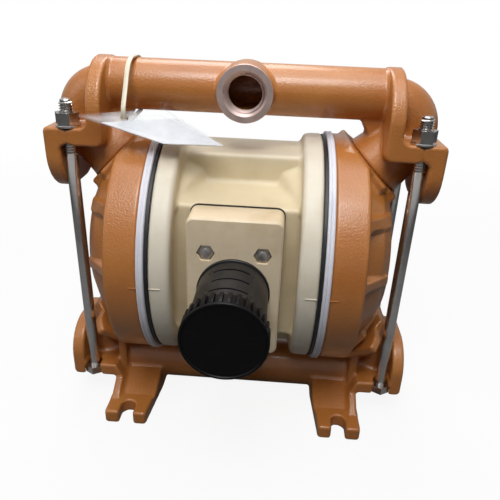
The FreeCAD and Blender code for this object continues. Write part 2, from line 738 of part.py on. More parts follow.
def muffler_plate():
    """Thick moulded plate that carries the muffler and the four sunk nuts."""
    plate = cover_outline(-PLATE_FRONT_Y, -GASKET_FACE, 0.0, PLATE_CORNER_R)
    front_edges = [edge for edge in plate.Edges if edge_on_plane(edge, "y", -PLATE_FRONT_Y)]
    plate = plate.makeChamfer(PLATE_CHAMFER, front_edges)
    window_low, window_high = SHAFT_Z - 34.0, SHAFT_Z + 14.0
    window = [(-14.0, window_low), (14.0, window_low), (14.0, window_high), (-14.0, window_high)]
    room = prism("y", window, -PLATE_FRONT_Y + SPIGOT_L, -GASKET_FACE + 1.0, 4.0)
    hole = rod("y", SPIGOT_R, -PLATE_FRONT_Y - 1.0, -PLATE_FRONT_Y + SPIGOT_L + 1.0, 0.0, MUFFLER_Z)
    tools = screw_holes(-PLATE_FRONT_Y - 1.0, -GASKET_FACE + 1.0) + [room, hole]
    deep = SCREW_NUT_SINK + SCREW_NUT_H
    for x, z in screw_places():
        tools.append(hexagon("y", SCREW_NUT_AF + 0.6, -PLATE_FRONT_Y - 1.0, -PLATE_FRONT_Y + deep, x, z))
    return cut(plate, tools)


def edge_on_plane(edge, axis, value):
    """Whether every corner of an edge lies on the plane where the axis has that value."""
    return all(abs(getattr(v.Point, axis) - value) < 1e-4 for v in edge.Vertexes)


def valve_screws():
    """Four long screws, heads at the air valve, ends in the sunk nuts."""
    screws = []
    head_y = GASKET_FACE + VALVE_BASE_T
    for x, z in screw_places():
        shank = rod("y", SCREW_R, -PLATE_FRONT_Y + 0.6, head_y, x, z)
        head = rod("y", SCREW_HEAD_R, head_y, head_y + SCREW_HEAD_H, x, z)
        socket = hexagon("y", SCREW_SOCKET_AF, head_y + SCREW_HEAD_H - 3.0, head_y + SCREW_HEAD_H + 1.0, x, z)
        screws.append(fused([shank, head]).cut(socket))
    return Part.makeCompound(screws)


def valve_screw_nuts():
    """Nuts sunk in the muffler plate."""
    front = -PLATE_FRONT_Y + SCREW_NUT_SINK
    nuts = []
    for x, z in screw_places():
        nut = hexagon("y", SCREW_NUT_AF, front, front + SCREW_NUT_H, x, z)
        nuts.append(nut.cut(rod("y", SCREW_R, front - 1.0, front + SCREW_NUT_H + 1.0, x, z)))
    return Part.makeCompound(nuts)


def muffler_body():
    """Hollow muffler barrel with a threaded spigot and slots round its upper and lower sides."""
    back = -PLATE_FRONT_Y
    front = back - BARREL_L
    wall = BARREL_WALL
    barrel = rod("y", BARREL_R, front, back, 0.0, MUFFLER_Z)
    shoulder = rod("y", SPIGOT_R, back, back + SPIGOT_L, 0.0, MUFFLER_Z)
    lip = rod("y", BARREL_R - wall, front - CAP_L + 5.0, front, 0.0, MUFFLER_Z)
    room = rod("y", BARREL_R - 2.0 * wall, front - CAP_L + 4.0, back - 4.0, 0.0, MUFFLER_Z)
    inlet = rod("y", SPIGOT_R - 3.0, back - 6.0, back + SPIGOT_L + 1.0, 0.0, MUFFLER_Z)
    tools = [room, inlet]
    for k in range(MUFFLER_SLOTS):
        y = front + 9.0 + k * MUFFLER_SLOT_PITCH
        ring = rod("y", BARREL_R + 1.0, y, y + MUFFLER_SLOT_W, 0.0, MUFFLER_Z)
        ring = ring.cut(rod("y", BARREL_R - wall - 1.5, y - 1.0, y + MUFFLER_SLOT_W + 1.0, 0.0, MUFFLER_Z))
        for low, high in ((8.0, 40.0), (-40.0, -8.0)):
            tools.append(ring.common(block(-19.0, 19.0, y - 1.0, y + 3.0, MUFFLER_Z + low, MUFFLER_Z + high)))
    return cut(fused([barrel, shoulder, lip]), tools)


def muffler_cap():
    """Snap-on muffler cap with a ribbed grip round its skirt."""
    back = -PLATE_FRONT_Y - BARREL_L
    front = back - CAP_L
    skirt = rod("y", CAP_R, front, back, 0.0, MUFFLER_Z)
    skirt = skirt.makeFillet(0.8, [e for e in skirt.Edges if edge_on_plane(e, "y", front)])
    room = rod("y", BARREL_R - BARREL_WALL, back - CAP_L + 3.0, back + 1.0, 0.0, MUFFLER_Z)
    dish = rod("y", CAP_R - 2.0, front - 1.0, front + 0.8, 0.0, MUFFLER_Z)
    notches = []
    for k in range(CAP_RIBS):
        notch = block(CAP_R - CAP_RIB_DEPTH, CAP_R + 1.0, front + 2.2, back + 1.0, -0.9, 0.9)
        notch.rotate(Vector(0, 0, 0), Vector(0, 1, 0), 360.0 * k / CAP_RIBS)
        notch.translate(Vector(0, 0, MUFFLER_Z))
        notches.append(notch)
    return cut(skirt, [room, dish, Part.makeCompound(notches)])


def air_valve_body():
    """Air valve housing with its base plate, upright bore, top flange and air inlet boss."""
    face = GASKET_FACE
    low = SHAFT_Z - VALVE_BOTTOM
    high = SHAFT_Z + VALVE_TOP
    base = cover_outline(face, face + VALVE_BASE_T, 0.0, PLATE_CORNER_R)
    housing = rod("z", VALVE_HOUSING_R, low, high, 0.0, VALVE_AXIS_Y)
    web = block(-VALVE_HOUSING_R, VALVE_HOUSING_R, face + 4.0, VALVE_AXIS_Y, low, high)
    x, y = END_CAP_HALF_X, END_CAP_HALF_Y
    top = [(-x, face + 1.0), (x, face + 1.0), (x, VALVE_AXIS_Y + y), (-x, VALVE_AXIS_Y + y)]
    top_flange = prism("z", top, high - CAP_FLANGE_T, high, [0, 0, CAP_CORNER_R, CAP_CORNER_R])
    boss = rod("y", AIR_BOSS_R, VALVE_AXIS_Y, AIR_FACE_Y, 0.0, SHAFT_Z)
    tools = screw_holes(face - 1.0, face + VALVE_BASE_T + 1.0) + air_valve_passages(low, high)
    for sx, sy in cap_screw_places():
        tools.append(rod("z", CAP_SCREW_R, high - CAP_FLANGE_T - 1.0, high + 1.0, sx, sy))
    return cut(fused([base, housing, web, top_flange, boss]), tools)


def air_valve_passages(low, high):
    """Spool bore, threaded air inlet and passages of the air valve housing."""
    face = GASKET_FACE
    bore = rod("z", VALVE_BORE_R + VALVE_FIT, low + VALVE_FLOOR, high + 1.0, 0.0, VALVE_AXIS_Y)
    inlet = rod("y", AIR_BORE_R, AIR_FACE_Y - AIR_DEPTH, AIR_FACE_Y + 1.0, 0.0, SHAFT_Z)
    inlet_way = rod("y", AIR_INLET_WAY_R, VALVE_AXIS_Y, AIR_FACE_Y, 0.0, SHAFT_Z)
    exhaust = rod("y", EXHAUST_R, face - 1.0, VALVE_AXIS_Y, 0.0, SHAFT_Z - EXHAUST_DROP)
    ways = [bore, inlet, inlet_way, exhaust]
    z = SHAFT_Z + AIR_WAY_RISE
    turn_y = face + 4.5
    for side in (LEFT, RIGHT):
        near, far = sorted((side * AIR_WAY_X, side * AIR_WAY_R))
        ways.append(rod("y", AIR_WAY_R, face - 1.0, face + 6.0, side * AIR_WAY_X, z))
        ways.append(rod("x", SLOT_WAY_R, near, far, turn_y, z))
        ways.append(rod("y", SLOT_WAY_R, turn_y, VALVE_AXIS_Y, side * AIR_WAY_R, z))
    return ways


def cap_screw_places():
    """Places of the end cap's screws, as (x, y)."""
    x = END_CAP_HALF_X - CAP_SCREW_INSET
    near = GASKET_FACE + VALVE_BASE_T + CAP_GAP + CAP_SCREW_INSET
    far = VALVE_AXIS_Y + END_CAP_HALF_Y - CAP_SCREW_INSET
    return [(sx * x, y) for sx in (-1, 1) for y in (near, far)]


def plug_ring(outer):
    """Flat-sided ring in the groove of the end cap's plug."""
    z = SHAFT_Z + VALVE_TOP
    ring = rod("z", outer, z - PLUG_RING_LOW, z - PLUG_RING_HIGH, 0.0, VALVE_AXIS_Y)
    return ring.cut(rod("z", VALVE_BORE_R - PLUG_RING_W, z - PLUG_L, z, 0.0, VALVE_AXIS_Y))


def air_valve_end_cap():
    """Cap over the top of the air valve bore, with a short plug that enters the bore."""
    z = SHAFT_Z + VALVE_TOP
    x, y = END_CAP_HALF_X, END_CAP_HALF_Y
    front = GASKET_FACE + VALVE_BASE_T + CAP_GAP
    points = [(-x, front), (x, front), (x, VALVE_AXIS_Y + y), (-x, VALVE_AXIS_Y + y)]
    plate = prism("z", points, z, z + END_CAP_T, [2.0, 2.0, CAP_CORNER_R, CAP_CORNER_R])
    plug = rod("z", VALVE_BORE_R - PLUG_GAP, z - PLUG_L, z, 0.0, VALVE_AXIS_Y)
    holes = [rod("z", CAP_SCREW_R, z - 1.0, z + END_CAP_T + 1.0, sx, sy) for sx, sy in cap_screw_places()]
    return cut(fused([plate, plug]), [plug_ring(VALVE_BORE_R)] + holes)


def end_cap_screws():
    """Four screws that hold the end cap."""
    z = SHAFT_Z + VALVE_TOP
    top = z + END_CAP_T
    screws = []
    for x, y in cap_screw_places():
        shank = rod("z", CAP_SCREW_R, z - CAP_FLANGE_T, top, x, y)
        head = rod("z", CAP_SCREW_HEAD_R, top, top + CAP_SCREW_HEAD_H, x, y)
        socket = hexagon("z", 2.5, top + 1.2, top + CAP_SCREW_HEAD_H + 1.0, x, y)
        screws.append(fused([shank, head]).cut(socket))
    return Part.makeCompound(screws)


def air_valve_spool():
    """Stepped spool that shuttles up and down in the air valve bore."""
    r = VALVE_BORE_R
    low = SHAFT_Z - VALVE_SPOOL_L / 2.0 - VALVE_SPOOL_DROP
    neck = r - 2.6
    lands = [0.0, 9.0, 18.0, 26.0, 33.0, 41.0, 49.0, VALVE_SPOOL_L]
    points = [(0.0, low)]
    for k in range(0, len(lands), 2):
        points += [(r, low + lands[k]), (r, low + lands[k + 1])]
        if k + 2 < len(lands):
            points += [(neck, low + lands[k + 1]), (neck, low + lands[k + 2])]
    points.append((0.0, low + VALVE_SPOOL_L))
    return turned_z(points, 0.0, 0.0, VALVE_AXIS_Y)


def shaft_seal():
    """Right-hand lip seal round the shaft."""
    bore = SHAFT_R + SHAFT_FIT
    return turned([(SEAL_X, bore), (SEAL_X, SEAL_R), (SEAL_X + SEAL_W, SEAL_R), (SEAL_X + SEAL_W, bore)])


def pilot_sleeve():
    """Grooved sleeve in which the pilot spool slides."""
    end = RECESS_X - PLATE_T
    axis = (0.0, SHAFT_Z + PILOT_RISE)
    sleeve = rod("x", PILOT_SLEEVE_R, -end, end, *axis)
    tools = [rod("x", PILOT_R + PILOT_FIT, -end - 1.0, end + 1.0, *axis)]
    for x in PILOT_RING_PLACES:
        groove = rod("x", PILOT_SLEEVE_R + 1.0, x - 1.2, x + 1.2, *axis)
        tools.append(groove.cut(rod("x", PILOT_SLEEVE_R - PILOT_RING_W, x - 2.0, x + 2.0, *axis)))
    return cut(sleeve, tools)


def pilot_sleeve_rings():
    """Rubber rings that seal the pilot sleeve in the centre section."""
    axis = (0.0, SHAFT_Z + PILOT_RISE)
    rings = []
    for x in PILOT_RING_PLACES:
        ring = rod("x", PILOT_SLEEVE_R, x - 1.1, x + 1.1, *axis)
        rings.append(ring.cut(rod("x", PILOT_SLEEVE_R - PILOT_RING_W, x - 2.0, x + 2.0, *axis)))
    return Part.makeCompound(rings)


def pilot_spool():
    """Pilot spool that the inner pistons push at the ends of the stroke."""
    axis = (0.0, SHAFT_Z + PILOT_RISE)
    spool = rod("x", PILOT_R, -PILOT_TIP_X, PILOT_TIP_X, *axis)
    tools = []
    for x in (-15.0, 15.0):
        waist = rod("x", PILOT_R + 1.0, x - 5.0, x + 5.0, *axis)
        tools.append(waist.cut(rod("x", PILOT_R - 1.4, x - 6.0, x + 6.0, *axis)))
    return cut(spool, tools)


def small_screw(y):
    """Countersunk screw of the right-hand retaining plate."""
    z = SHAFT_Z + PILOT_RISE
    seat = RECESS_X - SMALL_HEAD_H
    shank = rod("x", SMALL_SCREW_R, RECESS_X - SMALL_SCREW_L, seat, y, z)
    head = cone("x", SMALL_SCREW_R, SMALL_SCREW_R + SMALL_HEAD_H, seat, RECESS_X, y, z)
    return fused([shank, head])


def retaining_plate():
    """Right-hand plate that holds the pilot sleeve, let into the air chamber floor."""
    plate = retaining_outline(RECESS_X - PLATE_T, RECESS_X, 0.2)
    hole = rod("x", PILOT_R + 0.8, 0.0, RECESS_X + 1.0, 0.0, SHAFT_Z + PILOT_RISE)
    return cut(plate, [hole, small_screw(-plate_screw_y()), small_screw(plate_screw_y())])


def retaining_screws():
    """The countersunk screws of both retaining plates."""
    screws = [small_screw(-plate_screw_y()), small_screw(plate_screw_y())]
    return Part.makeCompound(screws + [other_side(screw) for screw in screws])


def diaphragm_shaft():
    """Ground shaft that joins the two diaphragms."""
    end = SHAFT_END_X
    return turned([(-end, 0.0), (-end, SHAFT_R), (end, SHAFT_R), (end, 0.0)], [0, 1.0, 1.0, 0])


def disc_spring():
    """Right-hand coned spring washer between shaft end and inner piston."""
    bore = STUD_R + 0.4
    return turned([
        (SHAFT_END_X, bore), (SHAFT_END_X + SPRING_T, bore), (INNER_PISTON_X, SPRING_R - 0.1),
        (INNER_PISTON_X - SPRING_T, SPRING_R),
    ])


def inner_piston():
    """Right-hand piston on the air side of the diaphragm."""
    face = RIM_FACE_X
    return turned([
        (INNER_PISTON_X, STUD_R), (INNER_PISTON_X, HUB_R), (INNER_PISTON_X + 2.2, INNER_PISTON_R - 8.0),
        (INNER_PISTON_X + 2.8, INNER_PISTON_R), (face, INNER_PISTON_R), (face, STUD_R),
    ], [0, 2.0, 4.0, 1.5, 1.5, 0])


def backup_diaphragm():
    """Right-hand rubber back-up diaphragm, with a shallow roll outside the pistons."""
    inner = ROLL_INNER_R
    crest = (inner + CLAMP_R) / 2.0
    low = RIM_FACE_X
    high = low + BACKUP_T
    points = [
        (low, STUD_R), (low, inner), (low - ROLL_DEPTH, crest), (low, CLAMP_R - 1.0), (low, BACKUP_R),
        (high, BACKUP_R), (high, CLAMP_R - 1.0), (high - ROLL_DEPTH, crest), (high, inner), (high, STUD_R),
    ]
    return turned(points, [0, 6.0, 8.0, 4.0, 0.4, 0.4, 4.0, 8.0, 6.0, 0])


def ptfe_diaphragm():
    """Right-hand facing diaphragm with the thick white bead that shows between the castings."""
    inner = ROLL_INNER_R
    crest = (inner + CLAMP_R) / 2.0
    low = RIM_FACE_X + BACKUP_T
    high = low + PTFE_T
    groove_x = low + BEAD_T * 0.5
    points = [
        (low, STUD_R), (low, inner), (low - ROLL_DEPTH, crest), (low, CLAMP_R - 1.0), (low, BEAD_R),
        (groove_x, BEAD_R - 0.6), (low + BEAD_T, BEAD_R), (low + BEAD_T, CLAMP_R),
        (high, CLAMP_R - 1.5), (high - ROLL_DEPTH, crest), (high, inner), (high, STUD_R),
    ]
    return turned(points, [0, 6.0, 8.0, 3.0, 1.0, 0, 1.0, 0, 2.0, 8.0, 6.0, 0])


def outer_piston():
    """Right-hand piston on the liquid side, one piece with the stud that enters the shaft."""
    base = RIM_FACE_X + BACKUP_T + PTFE_T
    tip = base + OUTER_PISTON_T
    return turned([
        (SHAFT_END_X, 0.0), (SHAFT_END_X, STUD_R), (base, STUD_R), (base, OUTER_PISTON_R),
        (base + 4.0, OUTER_PISTON_R), (base + 7.0, HUB_R + 6.0), (tip, HUB_R), (tip, 0.0),
    ], [0, 0, 0, 1.0, 2.0, 6.0, 3.0, 0])


def valve_seat():
    """Seat ring with a coned face for the ball, about a joint's axis."""
    return turned_z([
        (SEAT_BORE_R, -SEAT_T), (SEAT_R, -SEAT_T), (SEAT_R, 0.0), (SEAT_CONE_R, 0.0),
        (SEAT_BORE_R, -SEAT_CONE),
    ], [0, 0.8, 0.4, 0, 0])


def seat_ring():
    """Rubber ring under a seat, about a joint's axis."""
    z = -SEAT_T - SEAT_RING_R
    return Part.makeTorus(SEAT_R - SEAT_RING_R, SEAT_RING_R, Vector(0, 0, z), Vector(0, 0, 1))


def valve_ball():
    """Check valve ball resting on its seat, about a joint's axis."""
    return Part.makeSphere(BALL_R, Vector(0, 0, BALL_REST))


def bolt_places():
    """Places of the four tie bolts, as (x, y)."""
    return [(sx * BOLT_X, sy * BOLT_Y) for sx in (-1, 1) for sy in (-1, 1)]


def tie_bolts():
    """Four long bolts that draw the two manifolds together over the chambers."""
    head_z = BOTTOM_LUG_Z + HEAD_SINK
    seat_z = head_z + BOLT_HEAD_H
    bolts = []
    for x, y in bolt_places():
        head = hexagon("z", BOLT_HEAD_AF, head_z, seat_z, x, y)
        shank = rod("z", SHANK_R, seat_z, BOLT_TOP_Z - THREAD_L, x, y)
        tip = BOLT_TOP_Z - 1.2
        thread = rod("z", BOLT_R, BOLT_TOP_Z - THREAD_L, tip, x, y)
        point = cone("z", BOLT_R, BOLT_R - 1.0, tip, BOLT_TOP_Z, x, y)
        bolts.append(fused([head, shank, thread, point]))
    return Part.makeCompound(bolts)


def tie_bolt_nuts():
    """Hexagon nuts on the tie bolts."""
    low = TOP_LUG_Z + WASHER_T
    nuts = []
    for x, y in bolt_places():
        nut = hexagon("z", NUT_AF, low, low + NUT_H, x, y, 30.0)
        crown = cone("z", NUT_AF / 2.0 + 2.6, NUT_AF / 2.0 - 0.4, low + NUT_H - 3.0, low + NUT_H, x, y)
        body = rod("z", NUT_AF, low - 1.0, low + NUT_H - 3.0, x, y)
        nut = nut.common(fused([body, crown]))
        nuts.append(nut.cut(rod("z", BOLT_R, low - 1.0, low + NUT_H + 1.0, x, y)))
    return Part.makeCompound(nuts)


def tie_bolt_washers():
    """Flat washers under the nuts."""
    washers = []
    for x, y in bolt_places():
        washer = rod("z", WASHER_R, TOP_LUG_Z, TOP_LUG_Z + WASHER_T, x, y)
        washers.append(washer.cut(rod("z", BOLT_R, TOP_LUG_Z - 1.0, TOP_LUG_Z + WASHER_T + 1.0, x, y)))
    return Part.makeCompound(washers)


def tag_sheet(thickness, margin):
    """Flat four-cornered sheet in the tag's plane, smaller than the tag by a margin."""
    out = (TAG_FRONT - TAG_LEFT).cross(TAG_BACK - TAG_LEFT).normalize()
    corners = [TAG_LEFT, TAG_BACK, TAG_RIGHT, TAG_FRONT]
    level = [corner - out * (corner - TAG_LEFT).dot(out) for corner in corners]
    middle = (level[0] + level[1] + level[2] + level[3]) * 0.25
    points = []
    for corner in level:
        inward = (middle - corner).normalize()
        points.append(corner + inward * margin - out * (thickness / 2.0))
    wire = Part.makePolygon(points + [points[0]])
    return Part.Face(wire).extrude(out * thickness)


def tag_sleeve():
    """Clear sleeve of the tag, a thin closed pocket round the card."""
    tools = [tag_sheet(CARD_T, TAG_MARGIN), tie_strap(TIE_T + 1.6, TIE_W + 2.0)]
    return cut(tag_sheet(SLEEVE_T, 0.0), tools)


def tag_card():
    """Blank card inside the sleeve."""
    return tag_sheet(CARD_T, TAG_MARGIN).cut(tie_strap(TIE_T + 1.6, TIE_W + 2.0))


def tie_outline(grow):
    """Side outline of the tie's loop round the discharge tube, grown outwards."""
    r = TOP_TUBE_R + TIE_GAP + grow
    front = TIE_REACH + grow
    points = [(r, TOP_TUBE_Z + r), (-r, TOP_TUBE_Z + r), (-front, TOP_TUBE_Z - 12.0),
              (-front + 4.0, TOP_TUBE_Z - r - 3.5), (r, TOP_TUBE_Z - r)]
    return points, [r - 0.5, r - 0.5, 5.0 + grow, 2.5 + grow, r - 1.0]


def tie_strap(thick, width):
    """Closed strap round the discharge tube that passes through the tag."""
    middle = (thick - TIE_T) / 2.0
    outer, outer_rounds = tie_outline(TIE_T + middle)
    inner, inner_rounds = tie_outline(-middle)
    low = -TIE_X - width / 2.0
    ring = prism("x", outer, low, low + width, outer_rounds)
    return ring.cut(prism("x", inner, low - 1.0, low + width + 1.0, inner_rounds))


def write(name, shape):
    """Write one sub-part and report its solids and volume."""
    shape.exportStep("parts/" + name + ".step")
    print(name, len(shape.Solids), round(shape.Volume, 1), shape.isValid())


def write_pair(name, shape):
    """Write a right-hand sub-part and its left-hand image."""
    write(name + "_right", shape)
    write(name + "_left", other_side(shape))


def main():
    os.makedirs("parts", exist_ok=True)
    write("discharge_manifold", discharge_manifold())
    write("inlet_manifold", inlet_manifold())
    write_pair("liquid_chamber", liquid_chamber())
    write("center_section", center_section())
    write("muffler_plate_gasket", gasket(True))
    write("air_valve_gasket", gasket(False))
    write("muffler_plate", muffler_plate())
    write("muffler_body", muffler_body())
    write("muffler_cap", muffler_cap())
    write("valve_screws", valve_screws())
    write("valve_screw_nuts", valve_screw_nuts())
    write("air_valve_body", air_valve_body())
    write("air_valve_end_cap", air_valve_end_cap())
    write("air_valve_cap_ring", plug_ring(VALVE_BORE_R + VALVE_FIT))
    write("air_valve_cap_screws", end_cap_screws())
    write("air_valve_spool", air_valve_spool())
    write_pair("shaft_seal", shaft_seal())
    write("pilot_sleeve", pilot_sleeve())
    write("pilot_sleeve_rings", pilot_sleeve_rings())
    write("pilot_spool", pilot_spool())
    write_pair("retaining_plate", retaining_plate())
    write("retaining_plate_screws", retaining_screws())
    write("diaphragm_shaft", diaphragm_shaft())
    write_pair("disc_spring", disc_spring())
    write_pair("inner_piston", inner_piston())
    write_pair("backup_diaphragm", backup_diaphragm())
    write_pair("ptfe_diaphragm", ptfe_diaphragm())
    write_pair("outer_piston", outer_piston())
    for name, low in (("inlet", True), ("outlet", False)):
        write_pair(name + "_seat", at_port(valve_seat(), low))
        write_pair(name + "_seat_ring", at_port(seat_ring(), low))
        write_pair(name + "_ball", at_port(valve_ball(), low))
    write("tie_bolts", tie_bolts())
    write("tie_bolt_nuts", tie_bolt_nuts())
    write("tie_bolt_washers", tie_bolt_washers())
    write("tag_tie", tie_strap(TIE_T, TIE_W))
    write("tag_sleeve", tag_sleeve())
    write("tag_card", tag_card())


main()
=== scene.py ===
"""Air operated diaphragm pump: dressed pieces, finishes, studio light and camera."""

import json
import logging
import math
from dataclasses import dataclass
from enum import Enum
from typing import Callable, Dict, Optional, Sequence, Tuple

import bmesh
import bpy
from mathutils import Matrix, Vector
from mathutils.bvhtree import BVHTree


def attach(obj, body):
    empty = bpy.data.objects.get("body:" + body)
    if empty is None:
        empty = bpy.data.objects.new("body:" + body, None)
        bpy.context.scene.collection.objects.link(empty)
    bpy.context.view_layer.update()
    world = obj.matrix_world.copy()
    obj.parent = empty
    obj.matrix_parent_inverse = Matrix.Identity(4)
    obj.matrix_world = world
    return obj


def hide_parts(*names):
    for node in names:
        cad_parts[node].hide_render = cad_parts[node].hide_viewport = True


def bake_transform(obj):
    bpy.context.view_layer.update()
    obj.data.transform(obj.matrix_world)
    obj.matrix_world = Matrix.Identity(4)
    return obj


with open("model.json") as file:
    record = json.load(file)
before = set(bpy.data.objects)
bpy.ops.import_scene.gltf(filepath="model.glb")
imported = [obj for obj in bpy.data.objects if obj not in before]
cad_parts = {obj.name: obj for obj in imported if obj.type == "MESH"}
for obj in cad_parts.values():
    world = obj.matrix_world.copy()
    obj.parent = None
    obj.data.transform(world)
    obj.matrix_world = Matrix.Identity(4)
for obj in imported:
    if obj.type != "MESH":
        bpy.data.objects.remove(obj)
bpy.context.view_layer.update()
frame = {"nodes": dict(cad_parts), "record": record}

LOG = logging.getLogger("pump")
MM = 0.001
SHAFT_Z = 136.0 * MM
TOP_TUBE_Z = 252.0 * MM
MUFFLER_Z = 134.5 * MM
X_AXIS = Vector((1.0, 0.0, 0.0))
Y_AXIS = Vector((0.0, 1.0, 0.0))
Z_AXIS = Vector((0.0, 0.0, 1.0))
SIDES = (-1, 1)
FACE_FRONT = Matrix.Rotation(math.pi / 2.0, 4, "X")
NUT_TURN = Matrix.Rotation(math.radians(30.0), 4, "Z")
Pair = Tuple[float, float]
Point = Tuple[float, float, float]
Colour = Tuple[float, float, float, float]


class Body(Enum):
    """Rigid bodies that pieces ride on."""

    PUMP = "pump"
    SHAFT = "shaft"


def srgb(red: int, green: int, blue: int) -> Colour:
    """Turn a display colour into the linear colour that shaders take.

    Args:
        red: Red from 0 to 255.
        green: Green from 0 to 255.
        blue: Blue from 0 to 255.

    Returns:
        The linear colour with an alpha of 1.
    """
    linear = []
    for value in (red, green, blue):
        c = value / 255.0
        linear.append(c / 12.92 if c <= 0.04045 else ((c + 0.055) / 1.055) ** 2.4)
    return (linear[0], linear[1], linear[2], 1.0)


class Shading:
    """Node tree of one material, with short methods that add what the finishes share."""

    def __init__(self, name: str) -> None:
        """Start a material that holds one Principled shader.

        Args:
            name: Name of the material.
        """
        self.material = bpy.data.materials.new(name)
        self.material.use_nodes = True
        self.tree = self.material.node_tree
        self.shader = self.tree.nodes["Principled BSDF"]
        self.coords = self.add("ShaderNodeTexCoord").outputs["Object"]

    def add(self, kind: str) -> bpy.types.Node:
        """Add one node of the given type."""
        return self.tree.nodes.new(kind)

    def link(self, source: bpy.types.NodeSocket, target: bpy.types.NodeSocket) -> None:
        """Join an output to an input."""
        self.tree.links.new(source, target)

    def feed(self, target: bpy.types.NodeSocket, value: object) -> None:
        """Join an output to an input, or set the input to a constant."""
        if isinstance(value, bpy.types.NodeSocket):
            self.link(value, target)
        else:
            target.default_value = value

    def set(self, **values: float) -> None:
        """Set constants on the Principled shader's own sockets.

        Args:
            values: Socket names, with underscores for spaces, and their values.
        """
        for name, value in values.items():
            self.shader.inputs[name.replace("_", " ")].default_value = value

    def stretched(self, scale: Point, shift: Point = (0.0, 0.0, 0.0)) -> bpy.types.NodeSocket:
        """Object coordinates stretched by a scale on each axis, then shifted."""
        mapping = self.add("ShaderNodeMapping")
        mapping.inputs["Scale"].default_value = scale
        mapping.inputs["Location"].default_value = shift
        self.link(self.coords, mapping.inputs["Vector"])
        return mapping.outputs["Vector"]

    def length(self, vector: bpy.types.NodeSocket) -> bpy.types.NodeSocket:
        """Distance of coordinates from their origin."""
        node = self.add("ShaderNodeVectorMath")
        node.operation = "LENGTH"
        self.link(vector, node.inputs[0])
        return node.outputs["Value"]

    def noise(self, scale: float, detail: float = 2.0,
              vector: Optional[bpy.types.NodeSocket] = None) -> bpy.types.NodeSocket:
        """Noise on Object coordinates.

        Args:
            scale: Cells per metre.
            detail: Octaves of finer noise.
            vector: Coordinates to use instead of the plain ones.

        Returns:
            The factor output, from 0 to 1.
        """
        node = self.add("ShaderNodeTexNoise")
        node.inputs["Scale"].default_value = scale
        node.inputs["Detail"].default_value = detail
        self.link(vector or self.coords, node.inputs["Vector"])
        return node.outputs["Fac"]

    def ramp(self, factor: bpy.types.NodeSocket, low: float, high: float) -> bpy.types.NodeSocket:
        """Stretch a factor so that it runs from 0 at low to 1 at high.

        Args:
            factor: Value to stretch.
            low: Value that becomes 0.
            high: Value that becomes 1.

        Returns:
            The clamped result.
        """
        node = self.add("ShaderNodeMapRange")
        node.inputs["From Min"].default_value = low
        node.inputs["From Max"].default_value = high
        self.link(factor, node.inputs["Value"])
        return node.outputs["Result"]

    def between(self, factor: bpy.types.NodeSocket, low: float, high: float) -> bpy.types.NodeSocket:
        """Turn a factor from 0 to 1 into a value from low to high."""
        node = self.add("ShaderNodeMapRange")
        node.inputs["To Min"].default_value = low
        node.inputs["To Max"].default_value = high
        self.link(factor, node.inputs["Value"])
        return node.outputs["Result"]

    def mix(self, factor: bpy.types.NodeSocket, first: object, second: object) -> bpy.types.NodeSocket:
        """Blend two colours.

        Args:
            factor: Share of the second colour.
            first: A colour or an output.
            second: A colour or an output.

        Returns:
            The blended colour.
        """
        node = self.add("ShaderNodeMix")
        node.data_type = "RGBA"
        self.link(factor, node.inputs["Factor"])
        self.feed(node.inputs[6], first)
        self.feed(node.inputs[7], second)
        return node.outputs[2]

    def bump(self, height: bpy.types.NodeSocket, distance: float, strength: float,
             below: Optional[bpy.types.NodeSocket] = None) -> bpy.types.NodeSocket:
        """Raise the surface by a height.

        Args:
            height: Height from 0 to 1.
            distance: Metres that a height of 1 stands for.
            strength: Share of the full effect.
            below: Normal of another bump that this one lies on.

        Returns:
            The bent normal.
        """
        node = self.add("ShaderNodeBump")
        node.inputs["Distance"].default_value = distance
        node.inputs["Strength"].default_value = strength
        self.link(height, node.inputs["Height"])
        if below is not None:
            self.link(below, node.inputs["Normal"])
        return node.outputs["Normal"]

    def finish(self, colour: object, roughness: object, normal: Optional[bpy.types.NodeSocket]) -> bpy.types.Material:
        """Feed the Principled shader.

        Args:
            colour: A colour or an output.
            roughness: A number or an output.
            normal: The bent normal, if any.

        Returns:
            The finished material.
        """
        self.feed(self.shader.inputs["Base Color"], colour)
        self.feed(self.shader.inputs["Roughness"], roughness)
        if normal is not None:
            self.link(normal, self.shader.inputs["Normal"])
        return self.material


@dataclass(frozen=True)
class PowderCoat:
    """Glossy powder coat with orange peel, on a casting."""

    colour: Colour
    shade: Colour
    speck: Colour
    speck_share: float = 0.14
    peel_scale: float = 880.0
    peel_depth: float = 0.0005

    def material(self, name: str) -> bpy.types.Material:
        """Build the material."""
        s = Shading(name)
        patches = s.ramp(s.noise(28.0, 3.0), 0.32, 0.72)
        specks = s.between(s.ramp(s.noise(900.0, 2.0), 0.35, 0.75), 0.0, self.speck_share)
        colour = s.mix(specks, s.mix(patches, self.colour, self.shade), self.speck)
        peel = s.bump(s.noise(self.peel_scale, 1.5), self.peel_depth, 0.55)
        sand = s.bump(s.noise(1500.0, 2.0), 0.00005, 0.35, peel)
        roughness = s.between(s.noise(190.0, 2.0), 0.27, 0.42)
        s.set(Specular_IOR_Level=0.5, Coat_Weight=0.45, Coat_Roughness=0.2)
        return s.finish(colour, roughness, sand)


